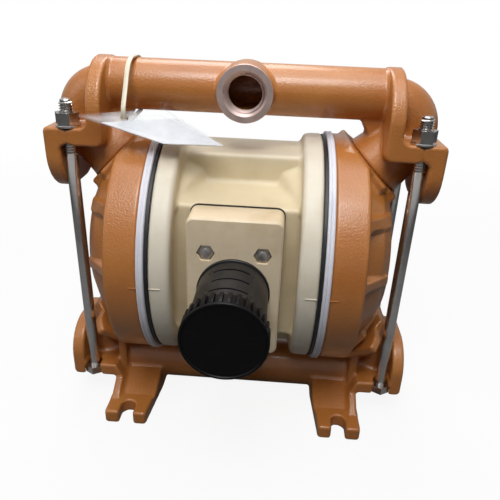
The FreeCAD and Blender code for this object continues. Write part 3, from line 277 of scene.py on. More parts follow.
@dataclass(frozen=True)
class MouldedPlastic:
    """Moulded plastic with faint stains, flow marks and fine grain, and, if given, painted shade and bounce light in
    its recessed waist as a darker, yellower colour.
    """

    colour: Colour
    stain: Colour
    stain_share: float = 0.45
    rough: float = 0.42
    grain: float = 0.00004
    # Colour of the painted shade and bounce light in the waist recess, if any.
    waist: Optional[Colour] = None
    painted_shade_full_r: float = 73.0 * MM
    painted_shade_end_r: float = 84.0 * MM

    def material(self, name: str) -> bpy.types.Material:
        """Build the material."""
        s = Shading(name)
        stains = s.between(s.ramp(s.noise(34.0, 5.0), 0.48, 0.72), 0.0, self.stain_share)
        smudges = s.between(s.ramp(s.noise(120.0, 3.0), 0.55, 0.8), 0.0, self.stain_share * 0.35)
        base: object = self.colour
        # Painted shade and bounce light: inside the rims' radius the recessed waist takes a darker, yellower colour,
        # which fades out towards the rims.
        if self.waist is not None:
            reach = s.length(s.stretched((0.0, 1.0, 1.0), (0.0, 0.0, -SHAFT_Z)))
            base = s.mix(s.ramp(reach, self.painted_shade_full_r, self.painted_shade_end_r), self.waist, self.colour)
        colour = s.mix(smudges, s.mix(stains, base, self.stain), self.stain)
        waves = s.bump(s.noise(45.0, 2.0), 0.0004, 0.25)
        grain = s.bump(s.noise(1600.0, 2.0), self.grain, 0.4, waves)
        roughness = s.between(s.noise(70.0, 3.0), self.rough - 0.06, self.rough + 0.12)
        return s.finish(colour, roughness, grain)


@dataclass(frozen=True)
class BlackRubber:
    """Rubber or black plastic with a dusty bloom."""

    colour: Colour
    dust: Colour
    rough: float = 0.55
    grain: float = 0.00006
    spec: float = 0.5

    def material(self, name: str) -> bpy.types.Material:
        """Build the material."""
        s = Shading(name)
        s.set(Specular_IOR_Level=self.spec)
        dust = s.between(s.ramp(s.noise(160.0, 4.0), 0.5, 0.85), 0.0, 0.5)
        colour = s.mix(dust, self.colour, self.dust)
        grain = s.bump(s.noise(2200.0, 3.0), self.grain, 0.5)
        return s.finish(colour, s.between(s.noise(90.0, 2.0), self.rough - 0.08, self.rough + 0.1), grain)


@dataclass(frozen=True)
class BareMetal:
    """Bare metal with fine drawn or turned marks."""

    colour: Colour
    dull: Colour
    rough: float = 0.3
    stretch: Point = (1.0, 1.0, 0.04)
    mark_scale: float = 2600.0
    mark_depth: float = 0.00002
    tarnish: float = 0.6

    def material(self, name: str) -> bpy.types.Material:
        """Build the material."""
        s = Shading(name)
        marks = s.noise(self.mark_scale, 3.0, s.stretched(self.stretch))
        tarnish = s.between(s.ramp(s.noise(110.0, 4.0), 0.4, 0.8), 0.0, self.tarnish)
        colour = s.mix(tarnish, self.colour, self.dull)
        s.set(Metallic=1.0)
        roughness = s.between(marks, self.rough - 0.07, self.rough + 0.12)
        return s.finish(colour, roughness, s.bump(marks, self.mark_depth, 0.5))


@dataclass(frozen=True)
class ClearFilm:
    """Clear plastic film with faint ripples."""

    tint: Colour

    def material(self, name: str) -> bpy.types.Material:
        """Build the material."""
        s = Shading(name)
        s.set(Specular_IOR_Level=0.8)
        s.link(s.between(s.ramp(s.noise(48.0, 2.0), 0.35, 0.7), 0.06, 0.24), s.shader.inputs["Alpha"])
        ripples = s.bump(s.noise(60.0, 2.0), 0.0006, 0.3)
        return s.finish(self.tint, s.between(s.noise(90.0, 2.0), 0.05, 0.16), ripples)


@dataclass(frozen=True)
class CardStock:
    """Smooth white card, faintly mottled."""

    colour: Colour
    tone: Colour

    def material(self, name: str) -> bpy.types.Material:
        """Build the material."""
        s = Shading(name)
        colour = s.mix(s.ramp(s.noise(70.0, 3.0), 0.4, 0.75), self.colour, self.tone)
        return s.finish(colour, 0.6, s.bump(s.noise(1400.0, 3.0), 0.00003, 0.4))


class Finishes:
    """All materials of the pump, by the record's slot names."""

    def __init__(self) -> None:
        """Build every material once."""
        tan = PowderCoat(srgb(192, 124, 60), srgb(178, 108, 48), srgb(118, 66, 28))
        makers: Dict[str, object] = {
            "casting": tan,
            "valve_casting": tan,
            # The centre section's waist colour is painted shade and bounce light in its recess, not the plastic's own
            # tone.
            "center_plastic": MouldedPlastic(srgb(227, 218, 200), srgb(198, 180, 142), waist=srgb(224, 209, 176)),
            "plate_plastic": MouldedPlastic(srgb(232, 213, 182), srgb(198, 172, 128), 0.6),
            "muffler_plastic": BlackRubber(srgb(20, 20, 23), srgb(46, 46, 46), 0.38, spec=0.4),
            "cap_plastic": BlackRubber(srgb(4, 4, 6), srgb(16, 16, 18), 0.4, spec=0.16),
            "ptfe": MouldedPlastic(srgb(228, 228, 236), srgb(205, 206, 220), 0.5, 0.38),
            "backup_rubber": BlackRubber(srgb(20, 20, 22), srgb(48, 48, 52), 0.45),
            "seal_rubber": BlackRubber(srgb(22, 22, 24), srgb(46, 46, 48)),
            "gasket": BlackRubber(srgb(20, 20, 20), srgb(40, 40, 40)),
            "stainless": BareMetal(srgb(204, 202, 200), srgb(150, 142, 138), 0.2, mark_depth=0.000008, tarnish=0.35),
            "zinc_screws": BareMetal(srgb(214, 210, 206), srgb(140, 130, 122), 0.36, (1.0, 0.05, 1.0), tarnish=0.5),
            "piston_metal": BareMetal(srgb(186, 186, 188), srgb(140, 140, 142), 0.34, (0.05, 1.0, 1.0)),
            "sleeve_brass": BareMetal(srgb(206, 172, 98), srgb(150, 118, 60), 0.3, (0.05, 1.0, 1.0)),
            "seat_plastic": MouldedPlastic(srgb(206, 202, 190), srgb(176, 170, 150)),
            "ball_plastic": MouldedPlastic(srgb(232, 232, 230), srgb(210, 208, 200), 0.3),
            "tie_nylon": MouldedPlastic(srgb(230, 222, 200), srgb(206, 194, 160), 0.4, 0.34),
            "sleeve_clear": ClearFilm(srgb(232, 238, 242)),
            "card": CardStock(srgb(220, 220, 224), srgb(206, 207, 212)),
            "machined": BareMetal(srgb(206, 184, 178), srgb(158, 138, 132), 0.46, (1.0, 0.1, 1.0), 1800.0),
        }
        self.materials = {name: maker.material(name) for name, maker in makers.items()}

    def dress(self, obj: bpy.types.Object, name: str) -> None:
        """Give an object one material in all its slots."""
        obj.data.materials.clear()
        obj.data.materials.append(self.materials[name])


def evaluated_mesh(obj: bpy.types.Object, name: str) -> bpy.types.Mesh:
    """Mesh of an object with its modifiers worked out.

    Args:
        obj: Object with modifiers.
        name: Name of the new mesh.

    Returns:
        The new mesh.
    """
    graph = bpy.context.evaluated_depsgraph_get()
    mesh = bpy.data.meshes.new_from_object(obj.evaluated_get(graph))
    mesh.name = name
    return mesh


def new_object(name: str, mesh: bpy.types.Mesh) -> bpy.types.Object:
    """Link a new object that shows a mesh."""
    obj = bpy.data.objects.new(name, mesh)
    bpy.context.scene.collection.objects.link(obj)
    return obj


def made_plain(rough: bpy.types.Object, name: str) -> bpy.types.Object:
    """Replace an object by a plain one that keeps what its modifiers made."""
    mesh = evaluated_mesh(rough, name)
    bpy.data.objects.remove(rough)
    return new_object(name, mesh)


def bmesh_object(bm: bmesh.types.BMesh, name: str) -> bpy.types.Object:
    """Show a bmesh as a new object and free it."""
    mesh = bpy.data.meshes.new(name)
    bm.to_mesh(mesh)
    bm.free()
    return new_object(name, mesh)


def add_bevel(obj: bpy.types.Object, width: float, segments: int, angle: float) -> None:
    """Add a bevel on the edges that are sharper than an angle in degrees."""
    bevel = obj.modifiers.new("edges", "BEVEL")
    bevel.width = width
    bevel.segments = segments
    bevel.limit_method = "ANGLE"
    bevel.angle_limit = math.radians(angle)


def merged_copy(node: str, name: str) -> bpy.types.Object:
    """Copy a CAD node's mesh with its loose triangles joined.

    Args:
        node: CAD node to copy.
        name: Name of the copy.

    Returns:
        The new object.
    """
    bm = bmesh.new()
    bm.from_mesh(frame["nodes"][node].data)
    bmesh.ops.remove_doubles(bm, verts=bm.verts, dist=0.01 * MM)
    return bmesh_object(bm, name)


def shade_smooth(obj: bpy.types.Object, angle: float = 40.0) -> None:
    """Shade an object smooth, with edges sharper than an angle kept."""
    mesh = obj.data
    mesh.polygons.foreach_set("use_smooth", [True] * len(mesh.polygons))
    bm = bmesh.new()
    bm.from_mesh(mesh)
    limit = math.radians(angle)
    for edge in bm.edges:
        edge.smooth = not edge.is_manifold or edge.calc_face_angle(0.0) < limit
    bm.to_mesh(mesh)
    bm.free()


def place_piece(piece: bpy.types.Object, finishes: Finishes, slot: str, node: Optional[str] = None) -> None:
    """Finish a piece, put it on the pump body and hide the CAD node it stands for.

    Args:
        piece: The piece.
        finishes: Materials of the pump.
        slot: Slot name in the record.
        node: CAD node that the piece stands for, if any.
    """
    finishes.dress(piece, slot)
    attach(piece, Body.PUMP.value)
    if node is not None:
        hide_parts(node)
    LOG.info("%s: %d faces", piece.name, len(piece.data.polygons))


def from_bmesh(bm: bmesh.types.BMesh, name: str, angle: float = 40.0) -> bpy.types.Object:
    """Close a bmesh's seams, turn its faces outwards and show it as a new object.

    Args:
        bm: The bmesh, freed afterwards.
        name: Name of the object.
        angle: Edges sharper than this stay sharp, in degrees.

    Returns:
        The new object.
    """
    bmesh.ops.remove_doubles(bm, verts=bm.verts, dist=0.001 * MM)
    bmesh.ops.recalc_face_normals(bm, faces=bm.faces)
    obj = bmesh_object(bm, name)
    shade_smooth(obj, angle)
    return obj


def spin_profile(bm: bmesh.types.BMesh, points: Sequence[Vector], centre: Vector, axis: Vector, closed: bool,
                 segments: int = 96) -> None:
    """Turn a profile fully about an axis.

    Args:
        bm: The bmesh that takes the result.
        points: Corners of the profile, in metres.
        centre: A point on the axis.
        axis: Direction of the axis.
        closed: Whether the last corner joins the first, as in a ring.
        segments: Steps in the full turn.
    """
    verts = [bm.verts.new(point) for point in points]
    pairs = list(zip(verts, verts[1:]))
    if closed:
        pairs.append((verts[-1], verts[0]))
    edges = [bm.edges.new(pair) for pair in pairs]
    bmesh.ops.spin(bm, geom=verts + edges, cent=centre, axis=axis, angle=math.tau, steps=segments, use_merge=True)


def spin_placed(bm: bmesh.types.BMesh, profile: Sequence[Pair], place: Matrix, closed: bool, segments: int) -> None:
    """Turn a profile of radius and height about a place's own Z axis."""
    points = [place @ Vector((r, 0.0, z)) for r, z in profile]
    axis = (place.to_3x3() @ Z_AXIS).normalized()
    spin_profile(bm, points, place.translation, axis, closed, segments)


def spin_front(bm: bmesh.types.BMesh, profile: Sequence[Pair], z: float, closed: bool) -> None:
    """Turn a profile of radius and depth about an axis that runs from front to back at a height."""
    spin_profile(bm, [Vector((0.0, y, z + r)) for r, y in profile], Vector((0.0, 0.0, z)), Y_AXIS, closed, 128)


def spin_shaft(bm: bmesh.types.BMesh, profile: Sequence[Pair], side: int) -> None:
    """Turn a closed profile of place along the shaft and radius about the shaft."""
    points = [Vector((side * x, 0.0, SHAFT_Z + r)) for x, r in profile]
    spin_profile(bm, points, Vector((0.0, 0.0, SHAFT_Z)), X_AXIS, True, 128)


def spin_coil(bm: bmesh.types.BMesh, section: Sequence[Vector], centre: Vector, axis: Vector, pitch: float,
              turns: float, segments: int = 28) -> None:
    """Wind a closed section along a helix, as a screw thread.

    Args:
        bm: The bmesh that takes the result.
        section: Corners of the section, in metres.
        centre: A point on the axis.
        axis: Direction in which the thread climbs.
        pitch: Climb of one turn in metres.
        turns: Number of turns.
        segments: Steps in one turn.
    """
    face = bm.faces.new([bm.verts.new(point) for point in section])
    geometry = [face] + list(face.edges) + list(face.verts)
    bmesh.ops.spin(bm, geom=geometry, cent=centre, axis=axis, dvec=axis * (pitch / segments),
                   angle=math.tau * turns, steps=round(segments * turns))


def add_prism(bm: bmesh.types.BMesh, outline: Sequence[Pair], low: float, high: float, place: Matrix) -> None:
    """Add a bar over an outline.

    Args:
        bm: The bmesh that takes the result.
        outline: Corners of the outline in the bar's own X and Y.
        low: Where the bar starts on its own Z.
        high: Where it ends.
        place: Place of the bar.
    """
    face = bm.faces.new([bm.verts.new(place @ Vector((x, y, low))) for x, y in outline])
    made = bmesh.ops.extrude_face_region(bm, geom=[face], use_keep_orig=True)
    verts = [item for item in made["geom"] if isinstance(item, bmesh.types.BMVert)]
    bmesh.ops.translate(bm, verts=verts, vec=place.to_3x3() @ Z_AXIS * (high - low))


def add_block(bm: bmesh.types.BMesh, low: Point, high: Point, place: Matrix = Matrix.Identity(4)) -> None:
    """Add a box between two corners."""
    size = Matrix.Diagonal([b - a for a, b in zip(low, high)] + [1.0])
    middle = Matrix.Translation([(a + b) / 2.0 for a, b in zip(low, high)])
    bmesh.ops.create_cube(bm, size=1.0, matrix=place @ middle @ size)


def add_soft_box(bm: bmesh.types.BMesh, place: Matrix, sides: Point, bevel: float) -> None:
    """Add a box with bevelled edges, centred on a place."""
    made = bmesh.ops.create_cube(bm, size=1.0, matrix=place @ Matrix.Diagonal(sides + (1.0,)))
    edges = list({edge for vert in made["verts"] for edge in vert.link_edges})
    bmesh.ops.bevel(bm, geom=edges, offset=bevel, affect="EDGES", segments=2, profile=0.5, material=-1)


def boolean(target: bpy.types.Object, tool: bmesh.types.BMesh, operation: str) -> None:
    """Work a closed bmesh into an object's mesh.

    Args:
        target: Object whose mesh changes.
        tool: The bmesh, freed afterwards.
        operation: UNION or DIFFERENCE.
    """
    helper = from_bmesh(tool, "tool")
    modifier = target.modifiers.new("work", "BOOLEAN")
    modifier.object = helper
    modifier.operation = operation
    modifier.solver = "EXACT"
    mesh = evaluated_mesh(target, target.name)
    target.modifiers.clear()
    target.data = mesh
    bpy.data.objects.remove(helper)


def port_place(side: int, low: bool) -> Matrix:
    """Place of a joint between chamber and manifold, with its own Z along the flow.

    Args:
        side: 1 for the right-hand half and -1 for the left-hand one.
        low: Whether it is the joint at the inlet.

    Returns:
        The place, mirrored for the left-hand half.
    """
    centre = (101.485 * MM, 0.0, 61.515 * MM) if low else (93.0 * MM, 0.0, 202.0 * MM)
    turn = Matrix.Rotation(math.radians(-45.0 if low else 45.0), 4, "Y")
    return Matrix.Diagonal((float(side), 1.0, 1.0, 1.0)) @ Matrix.Translation(centre) @ turn


@dataclass
class Casting:
    """A CAD node rebuilt with soft fillets and rounded edges, as a mould leaves them."""

    node: str
    slot: str
    voxel: float = 1.1 * MM
    fillet: float = 1.2 * MM
    edge: float = 0.35 * MM
    smoothing: int = 2
    near: float = 0.2 * MM
    far: float = 0.5 * MM

    def build(self, finishes: Finishes, shape: Optional[Callable[[bpy.types.Object], None]] = None) -> None:
        """Build the piece that stands for the node.

        Args:
            finishes: Materials of the pump.
            shape: A last change to the mesh, if any.
        """
        rough = merged_copy(self.node, self.node + "_rough")
        cutter = bmesh.new()
        self.trim(cutter)
        if cutter.verts:
            boolean(rough, cutter, "DIFFERENCE")
        bm = bmesh.new()
        bm.from_mesh(rough.data)
        self.grow(bm)
        bmesh.ops.recalc_face_normals(bm, faces=bm.faces)
        bm.to_mesh(rough.data)
        bm.free()
        self.remesh(rough)
        self.offset(rough, self.fillet)
        self.remesh(rough)
        self.offset(rough, -self.fillet - self.edge)
        self.remesh(rough)
        self.offset(rough, self.edge)
        smooth = rough.modifiers.new("even", "SMOOTH")
        smooth.factor = 0.5
        smooth.iterations = self.smoothing
        piece = made_plain(rough, self.node + "_cast")
        self.settle(piece)
        if shape is not None:
            shape(piece)
        piece.data.polygons.foreach_set("use_smooth", [True] * len(piece.data.polygons))
        place_piece(piece, finishes, self.slot, self.node)

    def trim(self, bm: bmesh.types.BMesh) -> None:
        """Add what is cut away before the remesh; nothing on a plain casting."""

    def grow(self, bm: bmesh.types.BMesh) -> None:
        """Add forms that the remesh joins on; none on a plain casting."""

    def settle(self, piece: bpy.types.Object) -> None:
        """Bring faces and bores back onto the CAD surface and leave fillets and edges soft."""
        bm = bmesh.new()
        bm.from_mesh(frame["nodes"][self.node].data)
        tree = BVHTree.FromBMesh(bm)
        bm.free()
        for vertex in piece.data.vertices:
            place, _, _, gap = tree.find_nearest(vertex.co)
            share = (self.far - gap) / (self.far - self.near)
            if share > 0.0:
                vertex.co = vertex.co.lerp(place, min(share, 1.0))

    def remesh(self, obj: bpy.types.Object) -> None:
        """Rebuild the surface evenly."""
        modifier = obj.modifiers.new("even_skin", "REMESH")
        modifier.mode = "VOXEL"
        modifier.voxel_size = self.voxel

    def offset(self, obj: bpy.types.Object, distance: float) -> None:
        """Push the surface out, or in for a negative distance."""
        modifier = obj.modifiers.new("offset", "DISPLACE")
        modifier.mid_level = 0.0
        modifier.strength = distance


@dataclass
class InletCasting(Casting):
    """Inlet manifold with its joints low on the necks and sloping webs beside its lugs."""

    neck_low: Point = (-25.0 * MM, -46.0 * MM, 0.0)
    neck_high: Point = (32.0 * MM, 46.0 * MM, 32.0 * MM)
    slope: Tuple[Pair, ...] = (
        (92.4, 20.0), (94.6, 20.0), (94.6, 22.0), (99.0, 31.5), (99.9, 31.5), (99.9, 54.0), (92.4, 54.0),
    )
    clear_y: float = 24.5 * MM
    end_y: float = 53.0 * MM

    def trim(self, bm: bmesh.types.BMesh) -> None:
        """Cut the necks off at the low joints and slope the webs."""
        outline = [(x * MM, z * MM) for x, z in self.slope]
        for side in SIDES:
            add_block(bm, self.neck_low, self.neck_high, port_place(side, True))
            upright = Matrix.Diagonal((float(side), 1.0, 1.0, 1.0)) @ FACE_FRONT
            add_prism(bm, outline, self.clear_y, self.end_y, upright)
            add_prism(bm, outline, -self.end_y, -self.clear_y, upright)


@dataclass
class ChamberCasting(Casting):
    """Liquid chamber with its lower boss and both joint flanges at full size."""

    side: int = 1
    top_flange: Tuple[Pair, ...] = ((-29.5, 24.0), (-14.0, 32.0), (8.0, 34.0), (12.1, 22.0), (24.2, 20.0))
    top_t: float = 4.0 * MM
    low_flange: Tuple[Pair, ...] = (
        (-19.0, 27.0), (9.5, 44.5), (13.0, 40.0), (16.5, 34.0), (16.5, 24.5), (24.2, 20.0),
    )
    low_t: float = 7.0 * MM
    boss_r: float = 22.7 * MM
    cage_r: float = 16.5 * MM
    boss_low: float = 6.0 * MM
    boss_high: float = 14.0 * MM

    def grow(self, bm: bmesh.types.BMesh) -> None:
        """Add the flanges and the end of the lower boss, open for the ball."""
        add_prism(bm, self.whole(self.top_flange), -self.top_t, 0.0, port_place(self.side, False))
        ring = [(self.cage_r, self.boss_low), (self.boss_r, self.boss_low), (self.boss_r, self.boss_high),
                (self.cage_r, self.boss_high)]
        spin_placed(bm, ring, port_place(self.side, True), True, 64)
        add_prism(bm, self.whole(self.low_flange), 0.0, self.low_t, port_place(self.side, True))

    def whole(self, half: Sequence[Pair]) -> Sequence[Pair]:
        """Outline in metres from one half of it in millimetres."""
        return [(x * MM, -y * MM) for x, y in half] + [(x * MM, y * MM) for x, y in reversed(half)]


@dataclass
class CentreCasting(Casting):
    """Centre section with wide bevelled rims and sloping pads in the corners of its waist."""

    rim: Tuple[Pair, ...] = (
        (41.3 * MM, 73.5 * MM), (41.3 * MM, 82.9 * MM), (43.5 * MM, 85.4 * MM), (45.0 * MM, 85.4 * MM),
        (45.0 * MM, 73.5 * MM),
    )
    pad_ends: Tuple[Point, ...] = ((42.3 * MM, 22.2 * MM, 52.5 * MM), (28.0 * MM, 16.5 * MM, 30.5 * MM))
    pad_sink: float = 5.0 * MM
    block_rise: float = 48.5 * MM
    block_y: float = 55.4 * MM
    wall_y: float = 24.0 * MM
    shoulder: float = 6.5 * MM
    overlap: float = 2.0 * MM
    under: float = 0.3 * MM

    def grow(self, bm: bmesh.types.BMesh) -> None:
        """Add the rims' inner edges and the eight pads."""
        for side in SIDES:
            spin_shaft(bm, self.rim, side)
            for up in SIDES:
                for front in SIDES:
                    self.add_pad(bm, side, up, front)

    def add_pad(self, bm: bmesh.types.BMesh, side: int, up: int, front: int) -> None:
        """Add one pad as the hull of its two end sections."""
        low = self.block_rise - self.pad_sink
        back = self.wall_y - self.overlap
        verts = []
        for x, rise, y in self.pad_ends:
            shoulder = self.shoulder * (self.block_y - y) / (self.block_y - self.wall_y) - self.under
            crest, foot = self.block_rise + rise, self.block_rise + shoulder
            for depth, height in ((back, crest), (y, foot), (y - self.overlap, low), (back, low)):
                verts.append(bm.verts.new((side * x, front * depth, SHAFT_Z + up * height)))
        bmesh.ops.convex_hull(bm, input=verts)


@dataclass
class ValveCasting(Casting):
    """Air valve body whose bore stays clear of its spool at the end of the stroke."""

    bore_y: float = 79.5 * MM
    bore_r: float = 8.0 * MM
    floor_z: float = 95.0 * MM
    room: float = 1.4 * MM
    overlap: float = 0.8 * MM

    def trim(self, bm: bmesh.types.BMesh) -> None:
        """Deepen the bore by the fillet's height."""
        place = Matrix.Translation((0.0, self.bore_y, self.floor_z - self.room / 2.0))
        bmesh.ops.create_cone(bm, cap_ends=True, segments=64, radius1=self.bore_r, radius2=self.bore_r,
                              depth=self.room + self.overlap, matrix=place)


@dataclass
class Diaphragm:
    """One layer of a diaphragm: a fixed edge and a middle built in sectors."""

    node: str
    slot: str
    side: int
    low: float
    thick: float
    edge: Tuple[Pair, ...]
    disc_radii: Tuple[float, ...] = (4.0 * MM, 20.0 * MM, 36.0 * MM)
    clamp_r: float = 76.0 * MM
    roll_r: float = 48.0 * MM
    roll: float = 2.6 * MM
    sectors: int = 8
    rings: int = 14
    start_r: float = 70.0 * MM
    end_r: float = 48.5 * MM

    def build(self, finishes: Finishes) -> None:
        """Build the edge and the sectors of the middle."""
        bm = bmesh.new()
        spin_shaft(bm, [(x * MM, r * MM) for x, r in self.edge], self.side)
        place_piece(from_bmesh(bm, self.node + "_edge", 40.0), finishes, self.slot, self.node)
        for k in range(self.sectors):
            self.sector(finishes, k)

    def at(self, x: float, r: float) -> Vector:
        """Point at a distance along the shaft and a radius straight up."""
        return Vector((self.side * x, 0.0, SHAFT_Z + r))

    def sector(self, finishes: Finishes, k: int) -> None:
        """Build one sector of the middle, from near the shaft out to the clamped edge."""
        bm = bmesh.new()
        radii = list(self.disc_radii)
        radii += [self.roll_r + (self.clamp_r - self.roll_r) * n / self.rings for n in range(self.rings + 1)]
        near = [self.at(self.face(r), r) for r in radii]
        far = [self.at(self.face(r) + self.thick, r) for r in radii]
        angle = math.tau / self.sectors
        centre = self.at(0.0, 0.0)
        pairs = [(bm.verts.new(a), bm.verts.new(b)) for a, b in zip(near, far)]
        faces = [bm.faces.new([a, c, d, b]) for (a, b), (c, d) in zip(pairs, pairs[1:])]
        turn = Matrix.Rotation(angle * (k - 0.5), 3, "X")
        bmesh.ops.rotate(bm, verts=bm.verts, cent=centre, matrix=turn)
        geom = faces + list(bm.edges) + list(bm.verts)
        bmesh.ops.spin(bm, geom=geom, cent=centre, axis=X_AXIS, angle=angle, steps=6, use_duplicate=False)
        inner = [face for face in bm.faces if all(len(edge.link_faces) > 2 for edge in face.edges)]
        bmesh.ops.delete(bm, geom=inner, context="FACES_ONLY")
        piece = from_bmesh(bm, "%s_sector_%d" % (self.node, k), 40.0)
        finishes.dress(piece, self.slot)
        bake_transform(piece)
        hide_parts(self.node)

    def face(self, r: float) -> float:
        """Place along the shaft of the layer's inner face at a radius."""
        share = min(max((r - self.roll_r) / (self.clamp_r - self.roll_r), 0.0), 1.0)
        return self.low - self.roll * math.sin(math.pi * share) ** 2


@dataclass
class MufflerPlate:
    """Front plate with its corner nuts' pockets turned so that a flat lies at the top."""

    x: float = 18.2 * MM
    rise: float = 25.5 * MM
    face_y: float = -79.5 * MM
    depth: float = 6.2 * MM
    flats: float = 10.6 * MM
    plug_r: float = 7.2 * MM
    hole_r: float = 3.3 * MM
    behind: float = 8.0 * MM
    overlap: float = 1.0 * MM
    edge: float = 0.6 * MM

    def build(self, finishes: Finishes) -> None:
        """Build the piece that stands for the plate."""
        rough = merged_copy("muffler_plate", "muffler_plate_rough")
        corner = self.flats / math.sqrt(3.0)
        boolean(rough, self.columns(self.plug_r, 48, 0.0, self.depth), "UNION")
        boolean(rough, self.columns(corner, 6, -self.overlap, self.depth), "DIFFERENCE")
        boolean(rough, self.columns(self.hole_r, 32, self.depth - self.overlap, self.depth + self.behind), "DIFFERENCE")
        add_bevel(rough, self.edge, 3, 40.0)
        piece = made_plain(rough, "muffler_plate_edged")
        shade_smooth(piece, 35.0)
        place_piece(piece, finishes, "plate_plastic", "muffler_plate")

    def columns(self, radius: float, segments: int, low: float, high: float) -> bmesh.types.BMesh:
        """Four bars along the screws, from one depth below the face to another."""
        bm = bmesh.new()
        y = self.face_y + (low + high) / 2.0
        for side in SIDES:
            for up in SIDES:
                place = Matrix.Translation((side * self.x, y, SHAFT_Z + up * self.rise)) @ FACE_FRONT @ NUT_TURN
                bmesh.ops.create_cone(bm, cap_ends=True, segments=segments, radius1=radius, radius2=radius,
                                      depth=high - low, matrix=place)
        return bm


@dataclass
class MufflerBarrel:
    """Hollow muffler barrel with slots round its upper and lower sides."""

    front: float = -123.2 * MM
    back: float = -79.6 * MM
    radius: float = 23.2 * MM
    wall: float = 2.6 * MM
    edge: float = 0.4 * MM
    slots: Tuple[float, ...] = (-116.3 * MM, -104.5 * MM, -92.7 * MM)
    slot_w: float = 1.5 * MM
    slot_half: float = 29.7
    past: float = 1.0 * MM

    def build(self, finishes: Finishes) -> None:
        """Build the barrel."""
        bm = bmesh.new()
        inner = self.radius - self.wall
        profile = [
            (inner, self.front), (self.radius - self.edge, self.front), (self.radius, self.front + self.edge),
            (self.radius, self.back), (inner, self.back),
        ]
        spin_front(bm, profile, MUFFLER_Z, True)
        piece = from_bmesh(bm, "muffler_barrel")
        tool = bmesh.new()
        for y in self.slots:
            for start in (-self.slot_half, 180.0 - self.slot_half):
                self.slot(tool, y, math.radians(start))
        boolean(piece, tool, "DIFFERENCE")
        shade_smooth(piece, 30.0)
        place_piece(piece, finishes, "muffler_plastic", "muffler_body")

    def slot(self, bm: bmesh.types.BMesh, y: float, start: float) -> None:
        """Add the cutter of one slot that starts at an angle from straight up."""
        low, high = self.radius - self.wall - self.past, self.radius + self.past
        turn = Matrix.Rotation(start, 4, "Y")
        corners = [(low, y), (high, y), (high, y + self.slot_w), (low, y + self.slot_w)]
        centre = Vector((0.0, 0.0, MUFFLER_Z))
        face = bm.faces.new([bm.verts.new(centre + turn @ Vector((0.0, b, a))) for a, b in corners])
        bmesh.ops.spin(bm, geom=[face] + list(face.edges) + list(face.verts), cent=centre, axis=Y_AXIS,
                       angle=math.radians(2.0 * self.slot_half), steps=20, use_duplicate=False)


@dataclass
class Edged:
    """A CAD node with a fine bevel on its sharp edges, as moulding or machining leaves them."""

    node: str
    slot: str
    width: float
    segments: int = 2
    angle: float = 32.0
    flat_angle: float = 0.5

    def build(self, finishes: Finishes) -> None:
        """Build the piece that stands for the node."""
        rough = merged_copy(self.node, self.node + "_rough")
        bm = bmesh.new()
        bm.from_mesh(rough.data)
        bmesh.ops.dissolve_limit(bm, angle_limit=math.radians(self.flat_angle), verts=bm.verts, edges=bm.edges)
        bm.to_mesh(rough.data)
        bm.free()
        add_bevel(rough, self.width, self.segments, self.angle)
        piece = made_plain(rough, self.node + "_edged")
        shade_smooth(piece, self.angle)
        place_piece(piece, finishes, self.slot, self.node)


@dataclass
class OutletPort:
    """Machined face and threaded bore of the outlet, let into the discharge casting."""

    face_y: float = -26.5 * MM
    face_r: float = 18.7 * MM
    lip: float = 0.6 * MM
    mouth_r: float = 14.6 * MM
    bore_r: float = 12.2 * MM
    wall_r: float = 15.5 * MM
    inner_y: float = -14.6 * MM
    chamfer: float = 0.3 * MM
    gap: float = 0.1 * MM
    pitch: float = 2.2 * MM
    thread_depth: float = 0.8 * MM
    thread_half: float = 0.42

    def shape(self, piece: bpy.types.Object) -> None:
        """Give way in the casting for the machined insert."""
        front = self.face_y + self.lip + self.gap
        for vertex in piece.data.vertices:
            flat = Vector((vertex.co.x, vertex.co.z - TOP_TUBE_Z))
            if vertex.co.y > self.inner_y + 1.2 * MM or flat.length > self.face_r + 0.5 * MM:
                continue
            vertex.co.y = max(vertex.co.y, front)
            if vertex.co.y < self.inner_y and flat.length < self.wall_r + self.gap:
                flat = flat.normalized() * (self.wall_r + self.gap)
                vertex.co.x = flat.x
                vertex.co.z = TOP_TUBE_Z + flat.y

    def build(self, finishes: Finishes) -> None:
        """Build the insert."""
        bm = bmesh.new()
        depth = self.mouth_r - self.bore_r
        profile = [
            (self.face_r, self.face_y + self.lip), (self.face_r, self.face_y + self.chamfer),
            (self.face_r - self.chamfer, self.face_y), (self.mouth_r, self.face_y),
            (self.bore_r, self.face_y + depth), (self.bore_r, self.inner_y), (self.wall_r, self.inner_y),
            (self.wall_r, self.face_y + self.lip),
        ]
        spin_front(bm, profile, TOP_TUBE_Z, True)
        root = self.bore_r + self.gap
        start = self.face_y + depth * 0.6
        half = self.pitch * self.thread_half
        section = [(root, start - half), (root - self.thread_depth, start), (root, start + half)]
        turns = (self.inner_y - half - start) / self.pitch
        points = [Vector((0.0, y, TOP_TUBE_Z + r)) for r, y in section]
        spin_coil(bm, points, Vector((0.0, 0.0, TOP_TUBE_Z)), Y_AXIS, self.pitch, turns, 48)
        piece = from_bmesh(bm, "outlet_port_face", 30.0)
        place_piece(piece, finishes, "casting")
        finishes.dress(piece, "machined")


CHAMFER_SHARE = 0.475
CHAMFER_SLOPE = 0.55


def set_radius(verts: Sequence[bmesh.types.BMVert], place: Matrix, radius: float, height: float) -> None:
    """Move vertices onto a circle about a placed piece's axis.

    Args:
        verts: Vertices to move.
        place: Place of the piece, with its axis along Z.
        radius: Radius of the circle.
        height: Height of the circle along the axis.
    """
    inverse = place.inverted()
    for vert in verts:
        flat = (inverse @ vert.co).xy.normalized() * radius
        vert.co = place @ Vector((flat.x, flat.y, height))


